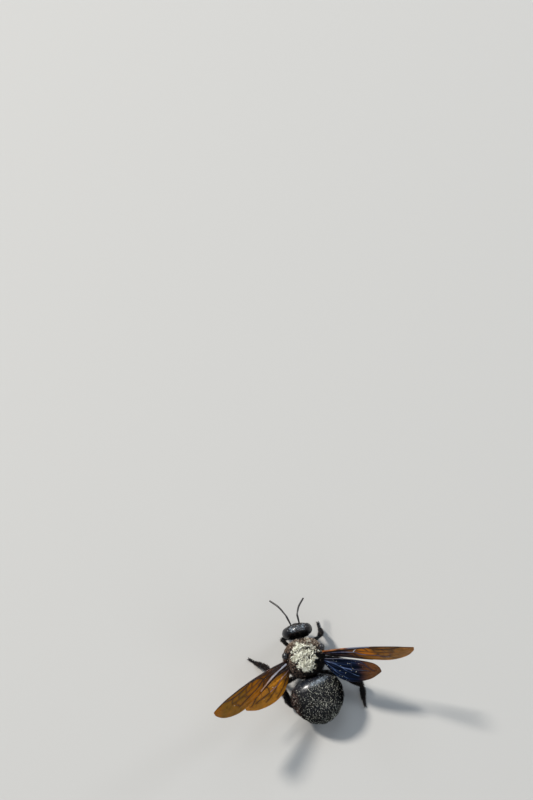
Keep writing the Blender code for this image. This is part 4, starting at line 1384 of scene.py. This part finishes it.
# %% The films of the four wings
# The strong blue on the right wings and the dark film of the right hindwing are painted sheen, as the wings
# look from above and behind; the left wings show their amber.
FILMS = {
    "forewing_left": make_film("left forewing film", 0.06, 0.5, (0.44, 0.145, 0.005), (0.30, 0.13, 0.006),
                               clear=0.06, edge=0.06, shade=0.46, stripe=1.0),
    "forewing_right": make_film("right forewing film", 0.40, 0.95, (0.42, 0.15, 0.012), (0.30, 0.12, 0.008),
                                clear=0.05, edge=0.09, shade=0.34, stripe=1.0, shine_through=0.9, mottle=0.6),
    "hindwing_left": make_film("left hindwing film", 0.08, 0.5, (0.62, 0.235, 0.014), (0.46, 0.185, 0.016),
                               clear=0.1, shade=0.26, mottle=0.6),
    "hindwing_right": make_film("right hindwing film", 0.74, 1.0, (0.11, 0.038, 0.006), (0.12, 0.040, 0.007),
                                clear=0.15),
}
print("films made:", len(FILMS))

# %% [markdown]
# ## The colour of the veins
# Most veins are dark brown horn; those of the right hindwing are navy, as painted sheen. A few carry
# painted light in their colour: a pale, rose, violet or blue painted highlight where light catches
# them, or orange where light shines through, and these few have finishes of their own.
# %% The horn of the veins
def make_horn(name, deep, thin, gloss, outer=None):
    """Horn of the veins: blots from deep to thin, which in the bright finishes is painted light; a broken
    gloss.

    outer is (colour, from, to): what it turns to between two shares of its length, read off its unwrap.
    """
    made, tree, shader = new_material(name, deep, 0.28, Coat_Weight=gloss, Coat_Roughness=0.12,
                                      Specular_IOR_Level=0.3)
    tone = add_blots(tree, 0.7, (0.35, 0.7), deep, thin)
    if outer:
        colour, start, end = outer
        unwrap = add_node(tree, "ShaderNodeUVMap", uv_map="OFBake").outputs["UV"]
        tone = add_mix(tree, add_ramp(tree, parts_of(tree, unwrap)["Y"], start, end), tone, (*colour, 1))
    rough = add_math(tree, "MULTIPLY_ADD", add_noise(tree, 0.3, 3), 0.25, 0.25)
    wire(tree, shader, {"Base Color": tone, "Roughness": rough})
    return made


brown_horn = make_horn("brown vein", (0.009, 0.005, 0.005), (0.045, 0.013, 0.007), gloss=0.12)
# Painted sheen: navy veins to go with the right hindwing's painted blue.
navy_sheen_horn = make_horn("vein with painted navy sheen", (0.008, 0.010, 0.028), (0.018, 0.030, 0.075), gloss=0.0)
# Painted highlight: a pale glint where light catches the vein, turning rose-brown towards its outer end.
highlight_horn = make_horn("vein with painted highlight", (0.56, 0.50, 0.52), (0.92, 0.93, 0.98), gloss=0.3,
                       outer=((0.66, 0.36, 0.22), 0.45, 0.95))
# Painted highlight: a rose glint along the vein.
rose_highlight_horn = make_horn("vein with painted rose highlight", (0.16, 0.06, 0.05), (0.50, 0.28, 0.24), gloss=0.5)
# Painted light: orange where light shines through the front vein, with a painted blue-grey sheen on its
# outer half.
lit_front_horn = make_horn("front vein with painted light and sheen", (0.10, 0.03, 0.012), (0.33, 0.12, 0.03), gloss=0.15,
                       outer=((0.09, 0.10, 0.14), 0.46, 0.56))
# Painted sheen: violet where light catches the vein.
violet_sheen_horn = make_horn("vein with painted violet sheen", (0.06, 0.06, 0.14), (0.30, 0.30, 0.42), gloss=0.5)
# Painted glints: light blue along the vein.
blue_glint_horn = make_horn("vein with painted blue glints", (0.015, 0.030, 0.090), (0.09, 0.15, 0.30), gloss=0.5)
faded_horn = make_horn("faded vein", (0.065, 0.025, 0.007), (0.20, 0.075, 0.012), gloss=0.1)
BRIGHT_VEINS = {  # by wing, the veins with painted light in their colour: their number, a word and a finish
    "forewing_left": {7: ("pale", highlight_horn)},
    "forewing_right": {0: ("front", lit_front_horn), 4: ("inner", violet_sheen_horn), 5: ("pale", highlight_horn),
                       6: ("middle", violet_sheen_horn)},
    "hindwing_left": {2: ("long", rose_highlight_horn)},
    "hindwing_right": {2: ("long", blue_glint_horn), 5: ("middle", blue_glint_horn), 6: ("rear", blue_glint_horn)},
}
print("veins with a finish of their own:", sum(len(chosen) for chosen in BRIGHT_VEINS.values()))

# %% The four wings
CAUGHT = {  # pollen grains on each wing
    "forewing_left": 24, "forewing_right": 12, "hindwing_left": 30, "hindwing_right": 130}


def caught(points, u, v):
    """Pollen on the upper face of a wing: most of it near the root."""
    return (np.sin(2 * np.pi * u) > 0) * np.clip(0.6 - v, 0, 1)


for name, pose in WINGS.items():
    sheet, length = wing_sheet(*pose)
    film, fore = film_of(sheet, length), name.startswith("fore")
    veins, slot = (FORE_VEINS, "amber_wing") if fore else (HIND_VEINS, "violet_wing")
    points, faces, uvs = skin(film, 128, 120)
    piece = add_piece(name + "_film", (points, faces, uvs), FILMS[name], [name])
    x, q = on_film(uvs[..., 0].ravel(), uvs[..., 1].ravel(), length)
    marks = piece.data.attributes.new("marks", "FLOAT_VECTOR", "CORNER")
    near = nearness(x, q, veins)
    marks.data.foreach_set("vector", np.stack([x / length, q, near], 1).astype(np.float32).ravel())
    bright, outer = BRIGHT_VEINS[name], OUTER_VEINS if fore else []
    dark = [k for k in range(len(veins)) if k not in bright and k not in outer]
    usual_horn = navy_sheen_horn if name == "hindwing_right" else brown_horn
    for word, chosen, finish in (("veins", dark, usual_horn), ("outer_veins", outer, faded_horn)):
        if chosen:
            tubes = bundle([(vein(sheet, *veins[k]), 10, 40) for k in chosen])
            add_piece(f"{name}_{word}", tubes, finish)
    for k, (word, finish) in bright.items():
        add_piece(f"{name}_{word}_vein", skin(vein(sheet, *veins[k]), 16, 60), finish)
    dust = grains(film, count=CAUGHT[name], seed=50, size=0.09, heights=(0.02, 0.05), density=caught,
                  group=5, spread=0.03)
    add_piece(name + "_pollen", dust, back_dust)

# %% [markdown]
# ## Floor, light and camera
# The bee stands on a plain pale floor. One small warm light like the sun stands ahead of it on its
# left, and three wider, weaker, bluish ones stand round it, so that black shell shows its form by
# its gloss. The camera looks down from behind, through a long lens.
# %% Stage
FLOOR_HALF = 1.5  # metres
LIGHT_DISTANCE = 2.0
LIGHTS = {  # azimuth and elevation in degrees, size in metres, power in watts, and colour
    "key": (38, 42, 0.3, 52, (1, 0.96, 0.9)),
    "fill": (292, 26, 0.6, 9, (0.86, 0.92, 1)),
    "rim": (200, 30, 1.0, 5, (0.9, 0.95, 1)),
    "sky": (350, 48, 1.2, 10, (0.75, 0.87, 1)),
}
SKY_COLOUR, SKY_STRENGTH = (0.75, 0.86, 1, 1), 0.3


def make_floor():
    """A wide pale plane, a little warm."""
    made, _, _ = new_material("floor", (0.45, 0.44, 0.42), 0.7)
    mesh = bpy.data.meshes.new("floor")
    corners = [(x * FLOOR_HALF, y * FLOOR_HALF, 0) for x, y in ((-1, -1), (1, -1), (1, 1), (-1, 1))]
    mesh.from_pydata(corners, [], [(0, 1, 2, 3)])
    mesh.materials.append(made)
    floor = bpy.data.objects.new("floor", mesh)
    bpy.context.scene.collection.objects.link(floor)


def direction(azimuth, elevation):
    """The unit vector towards a place at this azimuth and elevation; azimuth 0 is in front of the bee."""
    a, e = math.radians(azimuth), math.radians(elevation)
    return Vector((math.sin(a) * math.cos(e), -math.cos(a) * math.cos(e), math.sin(e)))


def add_light(name, azimuth, elevation, size, power, colour):
    """A round soft light that looks at the bee."""
    data = bpy.data.lights.new(name, "AREA")
    data.shape, data.size, data.energy, data.color = "DISK", size, power, colour
    lamp = bpy.data.objects.new(name, data)
    lamp.location = direction(azimuth, elevation) * LIGHT_DISTANCE
    lamp.rotation_euler = (-direction(azimuth, elevation)).to_track_quat("-Z", "Y").to_euler()
    bpy.context.scene.collection.objects.link(lamp)


make_floor()
for name, light in LIGHTS.items():
    add_light(name, *light)
world = bpy.data.worlds.new("studio")
world.use_nodes = True
wire(world.node_tree, world.node_tree.nodes["Background"], {"Color": SKY_COLOUR, "Strength": SKY_STRENGTH})
bpy.context.scene.world = world
bpy.context.scene.view_settings.view_transform = "Standard"
print("lights:", list(LIGHTS))

# %% Camera
CAMERA_AZIMUTH, CAMERA_ELEVATION = 165.4, 76.3
CAMERA_DISTANCE, FRAME_HEIGHT = 600.0, 152.0  # mm
AIM_RIGHT, AIM_UP = 7.2, -49.0  # where the thorax stands from the middle of the frame, in mm
SENSOR = 36  # mm, over the longer side of the frame


def make_camera():
    """A long lens over the bee, set so that the thorax stands low in the frame and a little right."""
    data = bpy.data.cameras.new("camera")
    data.sensor_width = SENSOR
    data.lens = SENSOR * CAMERA_DISTANCE / FRAME_HEIGHT
    data.clip_start, data.clip_end = 0.01, 10
    back = direction(CAMERA_AZIMUTH, CAMERA_ELEVATION)
    right = Vector((0, 0, 1)).cross(back).normalized()
    up = back.cross(right)
    centre = Vector((THORAX_CENTRE + BEE_ORIGIN) * MM)
    camera = bpy.data.objects.new("camera", data)
    camera.location = centre + (back * CAMERA_DISTANCE - right * AIM_RIGHT - up * AIM_UP) * MM
    camera.rotation_euler = (-back).to_track_quat("-Z", "Y").to_euler()
    bpy.context.scene.collection.objects.link(camera)
    bpy.context.scene.camera = camera
    print("lens:", round(data.lens, 1), "mm")


make_camera()
